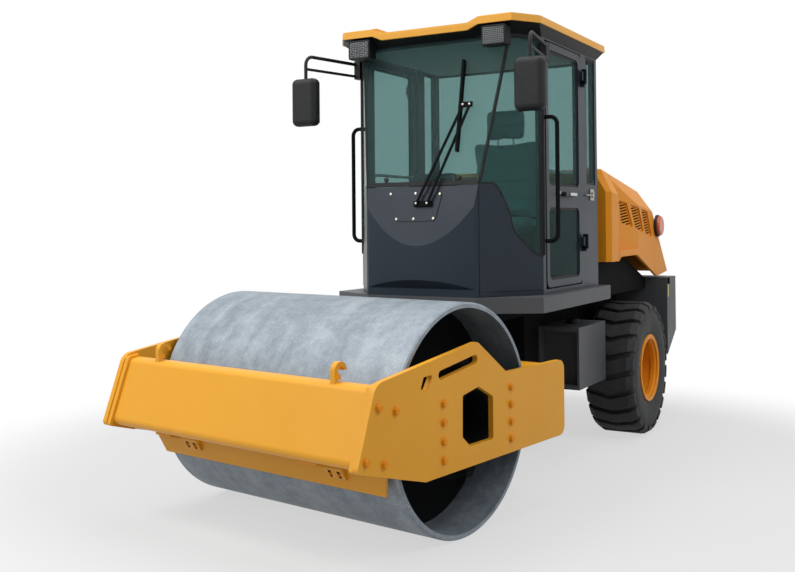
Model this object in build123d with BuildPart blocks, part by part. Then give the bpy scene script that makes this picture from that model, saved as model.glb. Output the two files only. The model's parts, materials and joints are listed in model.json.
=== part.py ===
"""Road roller with one smooth drum, an articulated front frame, a closed cab and rear tyres.

Lengths are millimetres and angles degrees. X points forward, Y to the machine's left, Z up.
Pieces are built about the articulation axis on the ground. The front frame is built straight ahead
and turned by the steering angle. At the end all pieces move together, so that the origin is the
centre of the bounding box's underside.
"""
import os
from math import cos, hypot, radians, sin

from build123d import *

# Joints and clearances
STEER = -8.56
RUN_GAP = 0.3
PIN_GAP = 0.05
SWING_GAP = 8.0

# Drum
DRUM_R = 600.0
DRUM_W = 1680.0
DRUM_WALL = 28.0
DRUM_CHAMFER = 8.0
HEAD_INSET = 265.0
HEAD_T = 30.0
HUB_R = 150.0
HUB_L = 70.0
SHAFT_R = 80.0
EXCITER_R = 130.0

# Front frame, with outlines as X and Z from the drum's axis, and the nose's X from the drum's front
CROSS_GAP = 60.0
CROSS_D = 220.0
CROSS_H = 370.0
CROSS_WALL = 16.0
PLATE_GAP = 50.0
PLATE_T = 30.0
PLATE_TAIL = 10.0
plate_rear = -(DRUM_R + CROSS_GAP + CROSS_D + PLATE_TAIL)
PLATE_OUTLINE = [
    (plate_rear, -212), (DRUM_R - 149, -212), (DRUM_R + 347, -77), (DRUM_R + 212, 295), (5, 406),
    (-270, 218), (plate_rear, 218)]
PLATE_REAR_R = 55.0
PLATE_TOE_R = 22.0
PLATE_NOSE_R = 75.0
WINDOW_OUTLINE = [(140, 151), (-3, 177), (-135, 110), (-135, -110), (78, -110), (144, -53)]
LONG_SLOT = (174, 297)
LONG_SLOT_L = 340.0
LONG_SLOT_W = 46.0
LONG_SLOT_TILT = -8.5
SHORT_SLOT_OUTLINE = [(462, 282), (488, 221), (433, 217), (384, 287)]
SHORT_SLOT_R = 12.0
BEAM_OUTLINE = [
    (DRUM_R + 142, 276), (DRUM_R + 200, 268), (DRUM_R + 322, -70), (DRUM_R + 175, -112)]
BEAM_R = 36.0
BEAM_WALL = 14.0
FLANGE_T = 28.0
FLANGE_LIP = 14.0
HOOK_Y = 640.0
HOOK_X = DRUM_R + 148
HOOK_UP = 326.0
HOOK_R = 42.0
HOOK_BORE_R = 19.0
HOOK_T = 30.0
SCRAPER_ANGLE = -24.3
SCRAPER_LEAN = 69.0
SCRAPER_GAP = 45.0
SCRAPER_H = 134.0
SCRAPER_T = 14.0
SCRAPER_W = 1680.0
SCRAPER_TAPER = 40.0
BRACKET_Y = 525.0
BRACKET_W = 120.0
BRACKET_T = 14.0
BRACKET_UP = 62.0
BRACKET_REACH = 70.0
CARRIER_W = 720.0
CARRIER_H = 380.0
CARRIER_T = 24.0
CARRIER_TUBE_R = 170.0
CARRIER_TUBE_WALL = 18.0
CARRIER_WELL = 170.0
CARRIER_DISC_R = 310.0
CARRIER_DISC_T = 30.0
BUFFER_R = 42.0
BUFFER_L = 90.0
BUFFER_RING_R = 245.0
BUFFER_COUNT = 8

# Centre joint and steering cylinders
HITCH_H = 320.0
HITCH_R = 110.0
NECK_L = 159.0
NECK_W = 210.0
PIN_R = 45.0
PIN_CAP_R = 72.0
PIN_CAP_T = 14.0
TRUNNION_R = 90.0
TRUNNION_FLANGE_T = 30.0
HOUSING_R = 165.0
HOUSING_L = 128.0
YOKE_T = 40.0
YOKE_GAP = 5.0
EAR_X = 105.0
EAR_Y = 225.0
EAR_T = 26.0
EAR_PIN_R = 12.0
EYE_DRIFT = 38.0
EYE_RIM = 18.0
EYE_H = 36.0
HEEL_X = -560.0
HEEL_Y = 225.0
HEEL_PIN_R = 20.0
HEEL_BOSS_R = 44.0
BARREL_R = 40.0
BARREL_L = 400.0
ROD_R = 16.0
ROD_HELD = 110.0
CYLINDER_UP = 10.0

# Rear wheels
AXLE_BACK = 1600.0
WHEEL_Y = 622.0
TYRE_R = 498.0
TYRE_W = 370.0
TYRE_SIDES = 44
WALL_R = 385.0
SHOULDER_Y = 160.0
BUTTRESS_Y = 176.0
LUG_END_Y = 170.0
BEAD_GAP = 1.0
LUG_H = 30.0
LUG_COUNT = 22
LUG_W = 108.0
LUG_SWEEP = 46.0
RIM_R = 230.0
RIM_LIP = 22.0
RIM_T = 10.0
RIM_W = 350.0
DISC_IN = 90.0
DISC_T = 20.0
RIM_HUB_R = 130.0
RIM_HUB_L = 90.0
SPINDLE_R = 60.0
AXLE_R = 105.0
DIFF_R = 190.0
DIFF_W = 260.0

# Rear frame
FRAME_Y = 330.0
FRAME_T = 30.0
FRAME_FRONT = -250.0
FRAME_REAR = -2270.0
FRAME_DROP = 180.0
ARM_FRONT = 400.0
ARM_H = 168.0
ARM_REAR = -850.0
AXLE_PAD_H = 50.0
ARCH_GAP = 65.0
RAMP_L = 250.0
PORT_Y = 216.0
PORT_W = 168.0
PORT_H = 240.0
TUB_Y = 580.0
TUB_T = 16.0
TUB_Z = 1060.0
TUB_FRONT = -890.0
ENGINE_FRONT = -1300.0
ENGINE_REAR = -2140.0
ENGINE_TOP = 1460.0
CROSS_MEMBER_H = 60.0
TUB_GAP = 20.0

# Platform and side boxes
DECK_Z = 1165.0
DECK_T = 12.0
SKIRT_H = 95.0
SKIRT_T = 10.0
DECK_Y = 720.0
DECK_REAR = -890.0
DECK_FRONT = 600.0
DECK_FACET_X = 390.0
DECK_FACET_Y = 370.0
BOX_FRONT = -500.0
BOX_REAR = -1065.0
BOX_Y = 622.0
BOX_LOW = 475.0
BOX_TOP = 895.0
BOX_WALL = 15.0
BOX_RECESS = 110.0

# Ballast and lashing eyes
BALLAST_Y = 760.0
BALLAST_REAR = -2545.0
BALLAST_TOP = 1150.0
BALLAST_LOW_FRONT = 520.0
BALLAST_LOW_REAR = 700.0
EYE_R = 22.0
EYE_T = 25.0
EYE_Y = 420.0
EYE_Z = 800.0
EYE_REACH = 47.0

# Cab
CAB_Y = 647.0
CAB_REAR = -845.0
PILLAR_X = 200.0
PILLAR_D = 48.0
DOOR_POST_D = 110.0
POST_BACK = 285.0
FRONT_X = 569.0
FRONT_Y = 386.0
FRONT_BULGE = 72.0
CORNER_OUT = 25.0
WAIST_Z = 1834.0
QUARTER_Z = 1865.0
SILL_H = 30.0
HEADER_H = 40.0
CAB_TOP = 2780.0
RAKE = 0.1986
WALL = 45.0
GLASS_T = 6.0
GLASS_IN = 9.0
PANEL_T = 30.0
SEAM = 2.0
CHIN_LOW = 1212.0
CHIN_HIGH = 1270.0
TONGUE_Z = 1450.0
S_CURVE_LOW = 1394.0
S_CURVE = [(0.756, 2), (0.641, 78), (0.526, 202), (0.411, 316), (0.267, 397)]

# Doors
DOOR_T = 42.0
DOOR_PROUD = 4.0
DOOR_STILE = 45.0
DOOR_RAIL_LOW = 1702.0
DOOR_RAIL_HIGH = 1838.0
DOOR_CORNER_R = 45.0
HANDLE_X = -222.0
HANDLE_Z = 1788.0
HANDLE_L = 226.0
HANDLE_W = 26.0
HANDLE_T = 12.0
HANDLE_OUT = 36.0
HINGE_OUT = 25.0
HINGE_PIN_R = 8.0
HINGE_R = 16.0
HINGE_L = 60.0
HINGE_LUG = 36.0
HINGE_SLIDE = 1.0
HINGE_LOW = 228.0
HINGE_HIGH = 191.0
GLASS_LAP = 10.0

# Roof, lamps, mirrors, rails
ROOF_Y = 705.0
ROOF_REAR = -870.0
ROOF_OVER = 138.0
ROOF_FACET_L = 175.0
ROOF_FACET_Y = 592.0
ROOF_LIFT = 20.0
ROOF_FASCIA = 46.0
ROOF_CROWN = 16.0
ROOF_DRAW = 4.0
CROWN_DRAW = 64.0
ROOF_DIP = 30.0
DIP_Y = 300.0
DIP_RUN = 70.0
DIP_L = 1150.0
DIP_LIP_T = 12.0
SOFFIT_H = 48.0
SOFFIT_IN = 8.0
LAMP_Y = 470.0
LAMP_GAP = 37.0
LAMP_W = 158.0
LAMP_H = 120.0
LAMP_D = 78.0
LAMP_DROP = 14.0
LAMP_R = 12.0
MIRROR_X = 685.0
MIRROR_Y = 770.0
MIRROR_DROP = 300.0
MIRROR_W = 185.0
MIRROR_H = 305.0
MIRROR_D = 90.0
MIRROR_R = 36.0
ARM_DROP = 90.0
ARM_R = 11.0
ARM_BEND = 60.0
BRACE_R = 9.0
BRACE_DROP = 84.0
BRACKET_H = 120.0
GRAB_LOW = 1494.0
GRAB_HIGH = 2255.0
GRAB_OUT = 88.0
GRAB_R = 13.0
GRAB_BEND = 45.0

# Wiper, in the plane of the raked glass
WIPER_FOOT = (30.0, -112.0)
WIPER_FOOT_W = 120.0
WIPER_FOOT_H = 34.0
WIPER_FOOT_T = 22.0
WIPER_SPREAD = 75.0
WIPER_TIP_SPREAD = 45.0
WIPER_TIP_Y = 280.0
WIPER_ARM_W = 16.0
WIPER_ARM_T = 10.0
BLADE_Y = 236.0
BLADE_L = 580.0
BLADE_T = 30.0
BLADE_CLEAR = 150.0

# Hood and cowl
HOOD_Y = 680.0
HOOD_TOP_Y = 600.0
COWL_FRONT = -1030.0
COWL_REAR = -1230.0
HOOD_Z0 = 1320.0
SHOULDER_Z = 1830.0
CREST_Z = 2000.0
SHOULDER_FALL = 0.127
CREST_FALL = 0.155
HOOD_T = 22.0
FLANK_IN = 58.0
COWL_EDGE = 34.0
LEDGE_Z = 1400.0
LEDGE_END = -1730.0
HOOD_TAIL = -2585.0
HOOD_TAIL_Z = 1190.0
TAIL_SLOPE = 0.898
TAIL_LEAN = 1.35
HOOD_HINGE_UP = 30.0
HOOD_HINGE_Y = 400.0
HOOD_PIN_R = 9.0
HOOD_EYE_R = 17.0
HOOD_EYE_L = 60.0
HOOD_LUG_W = 24.0
ARCH = [(-1290, 1350), (-1700, 1352), (-2262, 1160)]
GRILLE_OUTLINES = [
    [(-1372, 1772), (-1520, 1752), (-1640, 1560), (-1412, 1600)],
    [(-1572, 1745), (-1760, 1720), (-1888, 1522), (-1690, 1548)],
    [(-1812, 1713), (-1992, 1690), (-2128, 1484), (-1934, 1512)],
]
GRILLE_R = 16.0
GRILLE_T = 8.0
GRILLE_RECESS = 11.0
GRILLE_OPEN = 0.9
GRILLE_SLOT_W = 13.0
GRILLE_SLOT_PITCH = 22.0
GRILLE_SLOT_ROWS = 9
GRILLE_SLOT_TILT = -7.0
TAIL_LAMP_R = 82.0
TAIL_LAMP_T = 46.0
TAIL_LAMP_X = -2262.0
TAIL_LAMP_Z = 1575.0

# Seat and steering column
SEAT_X = -545.0
SEAT_W = 490.0
SEAT_BASE_D = 368.0
SEAT_BASE_W = 416.0
SEAT_BASE_TOP = 1520.0
CUSHION_T = 130.0
CUSHION_D = 490.0
CUSHION_R = 32.0
BACK_X = -735.0
BACK_T = 110.0
BACK_R = 30.0
BACK_DROP = 590.0
HEADREST_DROP = 355.0
HEADREST_W = 294.0
HEADREST_GAP = 25.0
POST_R = 8.0
POST_Y = 61.0
COLUMN_X = 330.0
PEDESTAL_W = 353.0
PEDESTAL = [(-90, 0), (90, 0), (60, 430), (-120, 370)]
COLUMN_FOOT = (-30, 370)
COLUMN_R = 32.0
COLUMN_TILT = 30.0
COLUMN_L = 270.0
STEER_WHEEL_R = 185.0
STEER_RIM = 26.0
STEER_SPOKE = 36.0
STEER_T = 24.0
STEER_SUNK = 20.0

os.makedirs("parts", exist_ok=True)
pieces = {}
SIDES = ((1, "left"), (-1, "right"))

plate_in = DRUM_W / 2 + PLATE_GAP
plate_out = plate_in + PLATE_T
head_y = DRUM_W / 2 - HEAD_INSET - HEAD_T / 2
hitch_z = DRUM_R
housing_rear = NECK_L + TRUNNION_FLANGE_T + SWING_GAP
cross_rear = housing_rear + HOUSING_L
cross_front = cross_rear + CROSS_D
drum_ahead = cross_front + CROSS_GAP + DRUM_R
steered = Location((0, 0, 0), (0, 0, STEER))


def y_plane(y):
    """Sketch plane across the machine at y, with X and Z as its axes; extruding goes towards minus Y."""
    return Plane.XZ.offset(-y)


def x_plane(x):
    """Sketch plane across the machine's length at x, with Y and Z as its axes."""
    return Plane.YZ.offset(x)


def from_drum(points):
    """Outline points given from the drum's axis, moved to where the drum stands."""
    return [(drum_ahead + x, DRUM_R + z) for x, z in points]


def nearest(sketch, x, z):
    """The corner of a sketch that lies nearest a point of its plane."""
    return sketch.vertices().sort_by_distance((x, z))[0]


def outline_face(points, mode=Mode.ADD):
    """Closed straight-sided face in the active sketch."""
    Polygon(*points, align=None, mode=mode)


def along_y(x, y, z):
    """Place for a cylinder whose axis runs across the machine."""
    return Location((x, y, z), (90, 0, 0))


def along_x(x, y, z):
    """Place for a cylinder whose axis runs along the machine."""
    return Location((x, y, z), (0, 90, 0))


def keep(name, part, place=None):
    """Files one finished piece under its name, turned with the front frame if asked."""
    pieces[name] = part if place is None else part.moved(place)


# Side plates

with BuildPart() as side_plate:
    with BuildSketch(y_plane(plate_out)) as plate_face:
        outline_face(from_drum(PLATE_OUTLINE))
        nose, crest = from_drum([PLATE_OUTLINE[3], PLATE_OUTLINE[4]])
        fillet(plate_face.vertices().sort_by(Axis.X)[0:2], PLATE_REAR_R)
        fillet(plate_face.vertices().sort_by(Axis.X)[-1], PLATE_TOE_R)
        fillet(nearest(plate_face, *nose), PLATE_NOSE_R)
        fillet(nearest(plate_face, *crest), PLATE_REAR_R)
    extrude(amount=PLATE_T)
    with BuildSketch(y_plane(plate_out)) as plate_cuts:
        outline_face(from_drum(WINDOW_OUTLINE))
        outline_face(from_drum(SHORT_SLOT_OUTLINE))
        fillet(plate_cuts.vertices(), SHORT_SLOT_R)
        with Locations(from_drum([LONG_SLOT])[0]):
            SlotOverall(LONG_SLOT_L, LONG_SLOT_W, rotation=LONG_SLOT_TILT)
    extrude(amount=PLATE_T, mode=Mode.SUBTRACT)
keep("side_plate_left", side_plate.part, steered)
keep("side_plate_right", mirror(side_plate.part, about=Plane.XZ), steered)

# Front beam with its end flanges and lifting hooks

with BuildPart() as front_beam:
    with BuildSketch(y_plane(plate_in)) as beam_face:
        outline_face(from_drum(BEAM_OUTLINE))
        fillet([nearest(beam_face, *p) for p in from_drum(BEAM_OUTLINE[1:3])], BEAM_R)
    extrude(amount=2 * plate_in)
    with BuildSketch(y_plane(plate_in), y_plane(FLANGE_T - plate_in)):
        outline_face(from_drum(BEAM_OUTLINE))
        offset(amount=FLANGE_LIP, mode=Mode.REPLACE)
    extrude(amount=FLANGE_T)
    with BuildSketch(y_plane(plate_in - FLANGE_T)):
        outline_face(from_drum(BEAM_OUTLINE))
        offset(amount=-BEAM_WALL, kind=Kind.INTERSECTION, mode=Mode.REPLACE)
    extrude(amount=2 * (plate_in - FLANGE_T), mode=Mode.SUBTRACT)
    hook_x, hook_z = drum_ahead + HOOK_X, DRUM_R + HOOK_UP
    stem_foot = DRUM_R + BEAM_OUTLINE[1][1] - BEAM_WALL
    with BuildSketch(y_plane(HOOK_Y + HOOK_T / 2), y_plane(HOOK_T / 2 - HOOK_Y)):
        with Locations((hook_x, hook_z)):
            Circle(HOOK_R)
        with Locations((hook_x - HOOK_R / 2, hook_z - HOOK_R / 2)):
            Rectangle(HOOK_R, HOOK_R, mode=Mode.SUBTRACT)
        with Locations((hook_x + (HOOK_R + HOOK_BORE_R) / 2, (hook_z + stem_foot) / 2)):
            Rectangle(HOOK_R - HOOK_BORE_R, hook_z - stem_foot)
        with Locations((hook_x, hook_z)):
            Circle(HOOK_BORE_R, mode=Mode.SUBTRACT)
    extrude(amount=HOOK_T)
keep("front_beam", front_beam.part, steered)

# Scraper blade with its two brackets under the beam

lean = radians(SCRAPER_LEAN)
blade_foot = (
    drum_ahead + (DRUM_R + SCRAPER_GAP) * cos(radians(SCRAPER_ANGLE)), 0,
    DRUM_R + (DRUM_R + SCRAPER_GAP) * sin(radians(SCRAPER_ANGLE)))


def on_blade(up, out):
    """A point beside the scraper blade, so far up its face and out from its back."""
    x = blade_foot[0] + up * cos(lean) + out * sin(lean)
    z = blade_foot[2] + up * sin(lean) - out * cos(lean)
    return x, z


beam_front, beam_rear = (Vector(*point) for point in from_drum(BEAM_OUTLINE[2:]))
under_beam = (beam_front - beam_rear).normalized()
down = Vector(under_beam.Y, -under_beam.X) * BRACKET_T
bracket_run = under_beam * BRACKET_REACH
BRACKET_OUTLINE = [
    on_blade(BRACKET_UP, SCRAPER_T / 2), on_blade(BRACKET_UP, SCRAPER_T + BRACKET_T),
    on_blade(SCRAPER_H, SCRAPER_T + 2 * BRACKET_T), tuple(beam_rear + down)[:2],
    tuple(beam_rear + bracket_run + down)[:2], tuple(beam_rear + bracket_run)[:2],
    tuple(beam_rear)[:2], on_blade(SCRAPER_H - SEAM, SCRAPER_T / 2)]
with BuildPart() as scraper:
    with BuildSketch(Plane(origin=blade_foot, x_dir=(0, 1, 0), z_dir=(sin(lean), 0, -cos(lean)))):
        half = SCRAPER_W / 2
        foot_half = half - SCRAPER_TAPER
        outline_face([(-foot_half, 0), (foot_half, 0), (half, SCRAPER_H), (-half, SCRAPER_H)])
    extrude(amount=SCRAPER_T)
    with BuildSketch(y_plane(BRACKET_Y + BRACKET_W / 2), y_plane(BRACKET_W / 2 - BRACKET_Y)):
        outline_face(BRACKET_OUTLINE)
    extrude(amount=BRACKET_W)
    add(front_beam.part, mode=Mode.SUBTRACT)
keep("scraper", scraper.part, steered)

# Rear crossbeam with the oscillation bearing

with BuildPart() as rear_crossbeam:
    with Locations(((cross_front + cross_rear) / 2, 0, hitch_z)):
        Box(CROSS_D, 2 * plate_in, CROSS_H)
        Box(CROSS_D - 2 * CROSS_WALL, 2 * plate_in, CROSS_H - 2 * CROSS_WALL, mode=Mode.SUBTRACT)
    with Locations(along_x((housing_rear + cross_rear) / 2, 0, hitch_z)):
        Cylinder(HOUSING_R, HOUSING_L)
    with Locations(along_x((housing_rear + cross_rear + CROSS_WALL) / 2, 0, hitch_z)):
        Cylinder(TRUNNION_R + RUN_GAP, HOUSING_L + CROSS_WALL, mode=Mode.SUBTRACT)
keep("rear_crossbeam", rear_crossbeam.part, steered)

# Drum, its heads and the carriers that hold it between the side plates

with BuildPart() as drum_shell:
    with Locations(along_y(drum_ahead, 0, DRUM_R)):
        Cylinder(DRUM_R, DRUM_W)
        chamfer(drum_shell.edges().filter_by(GeomType.CIRCLE), DRUM_CHAMFER)
        Cylinder(DRUM_R - DRUM_WALL, DRUM_W, mode=Mode.SUBTRACT)
keep("drum_shell", drum_shell.part, steered)

drum_heads = []
carriers = []
for side, word in SIDES:
    with BuildPart() as head:
        with Locations(along_y(drum_ahead, side * head_y, DRUM_R)):
            Cylinder(DRUM_R - DRUM_WALL, HEAD_T)
            Cylinder(HUB_R, HUB_L)
            Cylinder(SHAFT_R + RUN_GAP, HUB_L, mode=Mode.SUBTRACT)
    drum_heads.append(head.part)
    tube_in = head_y + HUB_L / 2 + SWING_GAP
    tube_out = plate_in - CARRIER_T
    shaft_in = head_y - HUB_L / 2 + SWING_GAP
    disc_y = tube_out - BUFFER_L - CARRIER_DISC_T / 2
    with BuildPart() as carrier:
        with Locations((drum_ahead, side * (plate_in - CARRIER_T / 2), DRUM_R)):
            Box(CARRIER_W, CARRIER_T, CARRIER_H)
        with Locations(along_y(drum_ahead, side * (tube_in + tube_out) / 2, DRUM_R)):
            Cylinder(CARRIER_TUBE_R, tube_out - tube_in)
        with Locations(along_y(drum_ahead, side * disc_y, DRUM_R)):
            Cylinder(CARRIER_DISC_R, CARRIER_DISC_T)
        with Locations(along_y(drum_ahead, side * (shaft_in + tube_in) / 2, DRUM_R)):
            Cylinder(SHAFT_R, tube_in - shaft_in)
        with BuildSketch(y_plane(side * (tube_out - BUFFER_L / 2) + BUFFER_L / 2)):
            with Locations((drum_ahead, DRUM_R)):
                with PolarLocations(BUFFER_RING_R, BUFFER_COUNT):
                    Circle(BUFFER_R)
        extrude(amount=BUFFER_L)
        with Locations(along_y(drum_ahead, side * (plate_in - CARRIER_WELL / 2), DRUM_R)):
            Cylinder(CARRIER_TUBE_R - CARRIER_TUBE_WALL, CARRIER_WELL, mode=Mode.SUBTRACT)
    carriers.append(carrier.part)
keep("drum_heads", Compound(drum_heads), steered)
keep("drum_carriers", Compound(carriers), steered)

with BuildPart() as exciter_housing:
    with Locations(along_y(drum_ahead, 0, DRUM_R)):
        Cylinder(EXCITER_R, 2 * head_y - HUB_L)
keep("exciter_housing", exciter_housing.part, steered)

# Articulation block: upright hinge, trunnion to the front frame and ears for the steering rods

trunnion_end = cross_rear + CROSS_WALL
ear_top = hitch_z + CYLINDER_UP - EYE_H / 2 - SWING_GAP
with BuildPart() as articulation_block:
    with Locations((0, 0, hitch_z)):
        Cylinder(HITCH_R, HITCH_H)
    with Locations((NECK_L / 2, 0, hitch_z)):
        Box(NECK_L, NECK_W, HITCH_H - YOKE_T)
    with Locations(along_x(NECK_L + TRUNNION_FLANGE_T / 2, 0, hitch_z)):
        Cylinder(HOUSING_R, TRUNNION_FLANGE_T)
    with Locations(along_x((NECK_L + trunnion_end) / 2, 0, hitch_z)):
        Cylinder(TRUNNION_R, trunnion_end - NECK_L)
    with Locations((EAR_X / 2, 0, ear_top - EAR_T / 2)):
        Box(EAR_X, 2 * EAR_Y, EAR_T)
    with Locations((EAR_X, EAR_Y, ear_top - EAR_T / 2), (EAR_X, -EAR_Y, ear_top - EAR_T / 2)):
        Cylinder(EYE_RIM + EAR_PIN_R, EAR_T)
    with Locations((EAR_X, EAR_Y, ear_top + EYE_H / 2), (EAR_X, -EAR_Y, ear_top + EYE_H / 2)):
        Cylinder(EAR_PIN_R, EYE_H)
    with Locations((0, 0, hitch_z)):
        Cylinder(PIN_R + RUN_GAP, HITCH_H, mode=Mode.SUBTRACT)
keep("articulation_block", articulation_block.part, steered)

# Steering cylinders, each from a heel pin on the rear frame to an ear of the articulation block

for side, word in SIDES:
    ear = Vector(EAR_X, side * EAR_Y, hitch_z + CYLINDER_UP).rotate(Axis.Z, STEER)
    heel = Vector(HEEL_X, side * HEEL_Y, hitch_z + CYLINDER_UP)
    reach = (ear - heel).length
    rod_start = BARREL_L - ROD_HELD
    eye_in = EAR_PIN_R + EYE_DRIFT
    rod_end = reach - eye_in - EYE_RIM / 2
    along = Plane(origin=heel, x_dir=ear - heel, z_dir=(0, 0, 1))
    with BuildPart(along) as steering_barrel:
        Cylinder(HEEL_BOSS_R, EYE_H)
        with Locations(along_x((HEEL_PIN_R + BARREL_L) / 2, 0, 0)):
            Cylinder(BARREL_R, BARREL_L - HEEL_PIN_R)
        with Locations(along_x((2 * HEEL_BOSS_R + BARREL_L) / 2, 0, 0)):
            Cylinder(ROD_R + RUN_GAP, BARREL_L - 2 * HEEL_BOSS_R, mode=Mode.SUBTRACT)
        Cylinder(HEEL_PIN_R + RUN_GAP, 2 * BARREL_R, mode=Mode.SUBTRACT)
    keep("steering_barrel_" + word, steering_barrel.part)
    with BuildPart(along) as steering_rod:
        with Locations(along_x((rod_start + rod_end) / 2, 0, 0)):
            Cylinder(ROD_R, rod_end - rod_start)
        with Locations((reach, 0, 0)):
            Cylinder(eye_in + EYE_RIM, EYE_H)
            Cylinder(eye_in, EYE_H, mode=Mode.SUBTRACT)
    keep("steering_rod_" + word, steering_rod.part)

# Rear frame: side plates, cross members, yoke, cylinder heels and the engine tub

axle_x = -AXLE_BACK
frame_low = hitch_z - FRAME_DROP
frame_back = TYRE_R + AXLE_R + AXLE_PAD_H
deck_under = DECK_Z - DECK_T
arm_low = deck_under - ARM_H
ramp_rear = axle_x + TYRE_R + ARCH_GAP
ramp_front = ramp_rear + RAMP_L
FRAME_OUTLINE = [
    (FRAME_FRONT, frame_low), (ramp_front, frame_low), (ramp_rear, frame_back), (FRAME_REAR, frame_back),
    (FRAME_REAR, TUB_Z), (ARM_REAR, TUB_Z), (ARM_REAR, deck_under), (ARM_FRONT, deck_under),
    (ARM_FRONT, arm_low), (FRAME_FRONT, arm_low)]
inner_w = 2 * (FRAME_Y - FRAME_T)
yoke_z = HITCH_H / 2 + YOKE_GAP + YOKE_T / 2
heel_top = hitch_z + CYLINDER_UP - BARREL_R - SWING_GAP
heel_pin_l = BARREL_R + EYE_H / 2 + 2 * SWING_GAP
with BuildPart() as rear_frame:
    with BuildSketch(y_plane(FRAME_Y), y_plane(FRAME_T - FRAME_Y)):
        outline_face(FRAME_OUTLINE)
    extrude(amount=FRAME_T)
    with Locations((FRAME_FRONT - FRAME_T / 2, 0, (frame_low + arm_low) / 2)):
        Box(FRAME_T, inner_w, arm_low - frame_low)
    for port_y in (PORT_Y, -PORT_Y):
        with Locations((FRAME_FRONT - FRAME_T / 2, port_y, hitch_z + CYLINDER_UP)):
            Box(2 * FRAME_T, PORT_W, PORT_H, mode=Mode.SUBTRACT)
    with Locations((FRAME_REAR + FRAME_T / 2, 0, (frame_back + TUB_Z) / 2)):
        Box(FRAME_T, inner_w, TUB_Z - frame_back)
    for member_x in (ENGINE_FRONT - CROSS_MEMBER_H, ENGINE_REAR + CROSS_MEMBER_H):
        with Locations((member_x, 0, frame_back + CROSS_MEMBER_H / 2)):
            Box(2 * CROSS_MEMBER_H, inner_w, CROSS_MEMBER_H)
    with Locations((ARM_FRONT - FRAME_T / 2, 0, (arm_low + deck_under) / 2)):
        Box(FRAME_T, inner_w, ARM_H)
    for level in (hitch_z - yoke_z, hitch_z + yoke_z):
        with BuildSketch(Plane.XY.offset(level - YOKE_T / 2)):
            yoke_foot = HEEL_Y + EYE_DRIFT
            outline_face([(FRAME_FRONT, yoke_foot), (FRAME_FRONT, -yoke_foot), (0, -HITCH_R), (0, HITCH_R)])
            Circle(HITCH_R)
            Circle(PIN_R, mode=Mode.SUBTRACT)
        extrude(amount=YOKE_T)
    for heel_y in (HEEL_Y, -HEEL_Y):
        with Locations((HEEL_X, heel_y, heel_top - EAR_T / 2)):
            Box(2 * HEEL_BOSS_R, 2 * (FRAME_Y - FRAME_T - HEEL_Y), EAR_T)
        with Locations((HEEL_X, heel_y, heel_top + heel_pin_l / 2)):
            Cylinder(HEEL_PIN_R, heel_pin_l)
    tub_x = (TUB_FRONT + FRAME_REAR) / 2
    tub_l = TUB_FRONT - FRAME_REAR
    for side, word in SIDES:
        with Locations((tub_x, side * (TUB_Y - TUB_T / 2), (TUB_Z + HOOD_Z0) / 2)):
            Box(tub_l, TUB_T, HOOD_Z0 - TUB_Z)
        with Locations((tub_x, side * (TUB_Y + FRAME_Y - FRAME_T) / 2, TUB_Z + TUB_T / 2)):
            Box(tub_l, TUB_Y - FRAME_Y + FRAME_T, TUB_T)
    tub_low = ARCH[2][1] - TUB_GAP
    tub_high = HOOD_Z0 + SEAM
    with BuildSketch(y_plane(TUB_Y)):
        outline_face([(ARCH[2][0], tub_high), (ARCH[1][0], tub_high), (ARCH[2][0], tub_low),
                      (FRAME_REAR - SEAM, tub_low), (FRAME_REAR - SEAM, tub_high)])
    extrude(amount=2 * TUB_Y, mode=Mode.SUBTRACT)
keep("rear_frame", rear_frame.part)

pins = []
for turn in (1, -1):
    pin_out = yoke_z + YOKE_T / 2
    pin_in = HITCH_H / 8
    with BuildPart() as pin:
        with Locations((0, 0, hitch_z + turn * (pin_out + pin_in) / 2)):
            Cylinder(PIN_R, pin_out - pin_in)
        with Locations((0, 0, hitch_z + turn * (pin_out + PIN_CAP_T / 2))):
            Cylinder(PIN_CAP_R, PIN_CAP_T)
    pins.append(pin.part)
keep("articulation_pins", Compound(pins))

# Rear axle under the frame, with a spindle in each wheel

spindle_end = WHEEL_Y - DISC_IN + RIM_HUB_L
housing_end = WHEEL_Y - DISC_IN - RIM_HUB_L / 2 - SWING_GAP
with BuildPart() as rear_axle:
    with Locations(along_y(axle_x, 0, TYRE_R)):
        Cylinder(AXLE_R, 2 * housing_end)
        Cylinder(SPINDLE_R, 2 * spindle_end)
        Cylinder(DIFF_R, DIFF_W)
    pad_z = (TYRE_R + frame_back) / 2
    with Locations((axle_x, FRAME_Y - FRAME_T, pad_z), (axle_x, FRAME_T - FRAME_Y, pad_z)):
        Box(2 * AXLE_R, 3 * FRAME_T, frame_back - TYRE_R)
keep("rear_axle", rear_axle.part)

# Platform and the boxes under it

DECK_PLAN = [(DECK_REAR, DECK_Y), (DECK_FACET_X, DECK_Y), (DECK_FRONT, DECK_FACET_Y)]
DECK_PLAN += [(x, -y) for x, y in reversed(DECK_PLAN)]
with BuildPart() as platform:
    with BuildSketch(Plane.XY.offset(DECK_Z - SKIRT_H)):
        outline_face(DECK_PLAN)
    extrude(amount=SKIRT_H)
    with BuildSketch(Plane.XY.offset(DECK_Z - SKIRT_H)):
        outline_face(DECK_PLAN)
        offset(amount=-SKIRT_T, kind=Kind.INTERSECTION, mode=Mode.REPLACE)
    extrude(amount=SKIRT_H - DECK_T, mode=Mode.SUBTRACT)
keep("platform", platform.part)

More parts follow.
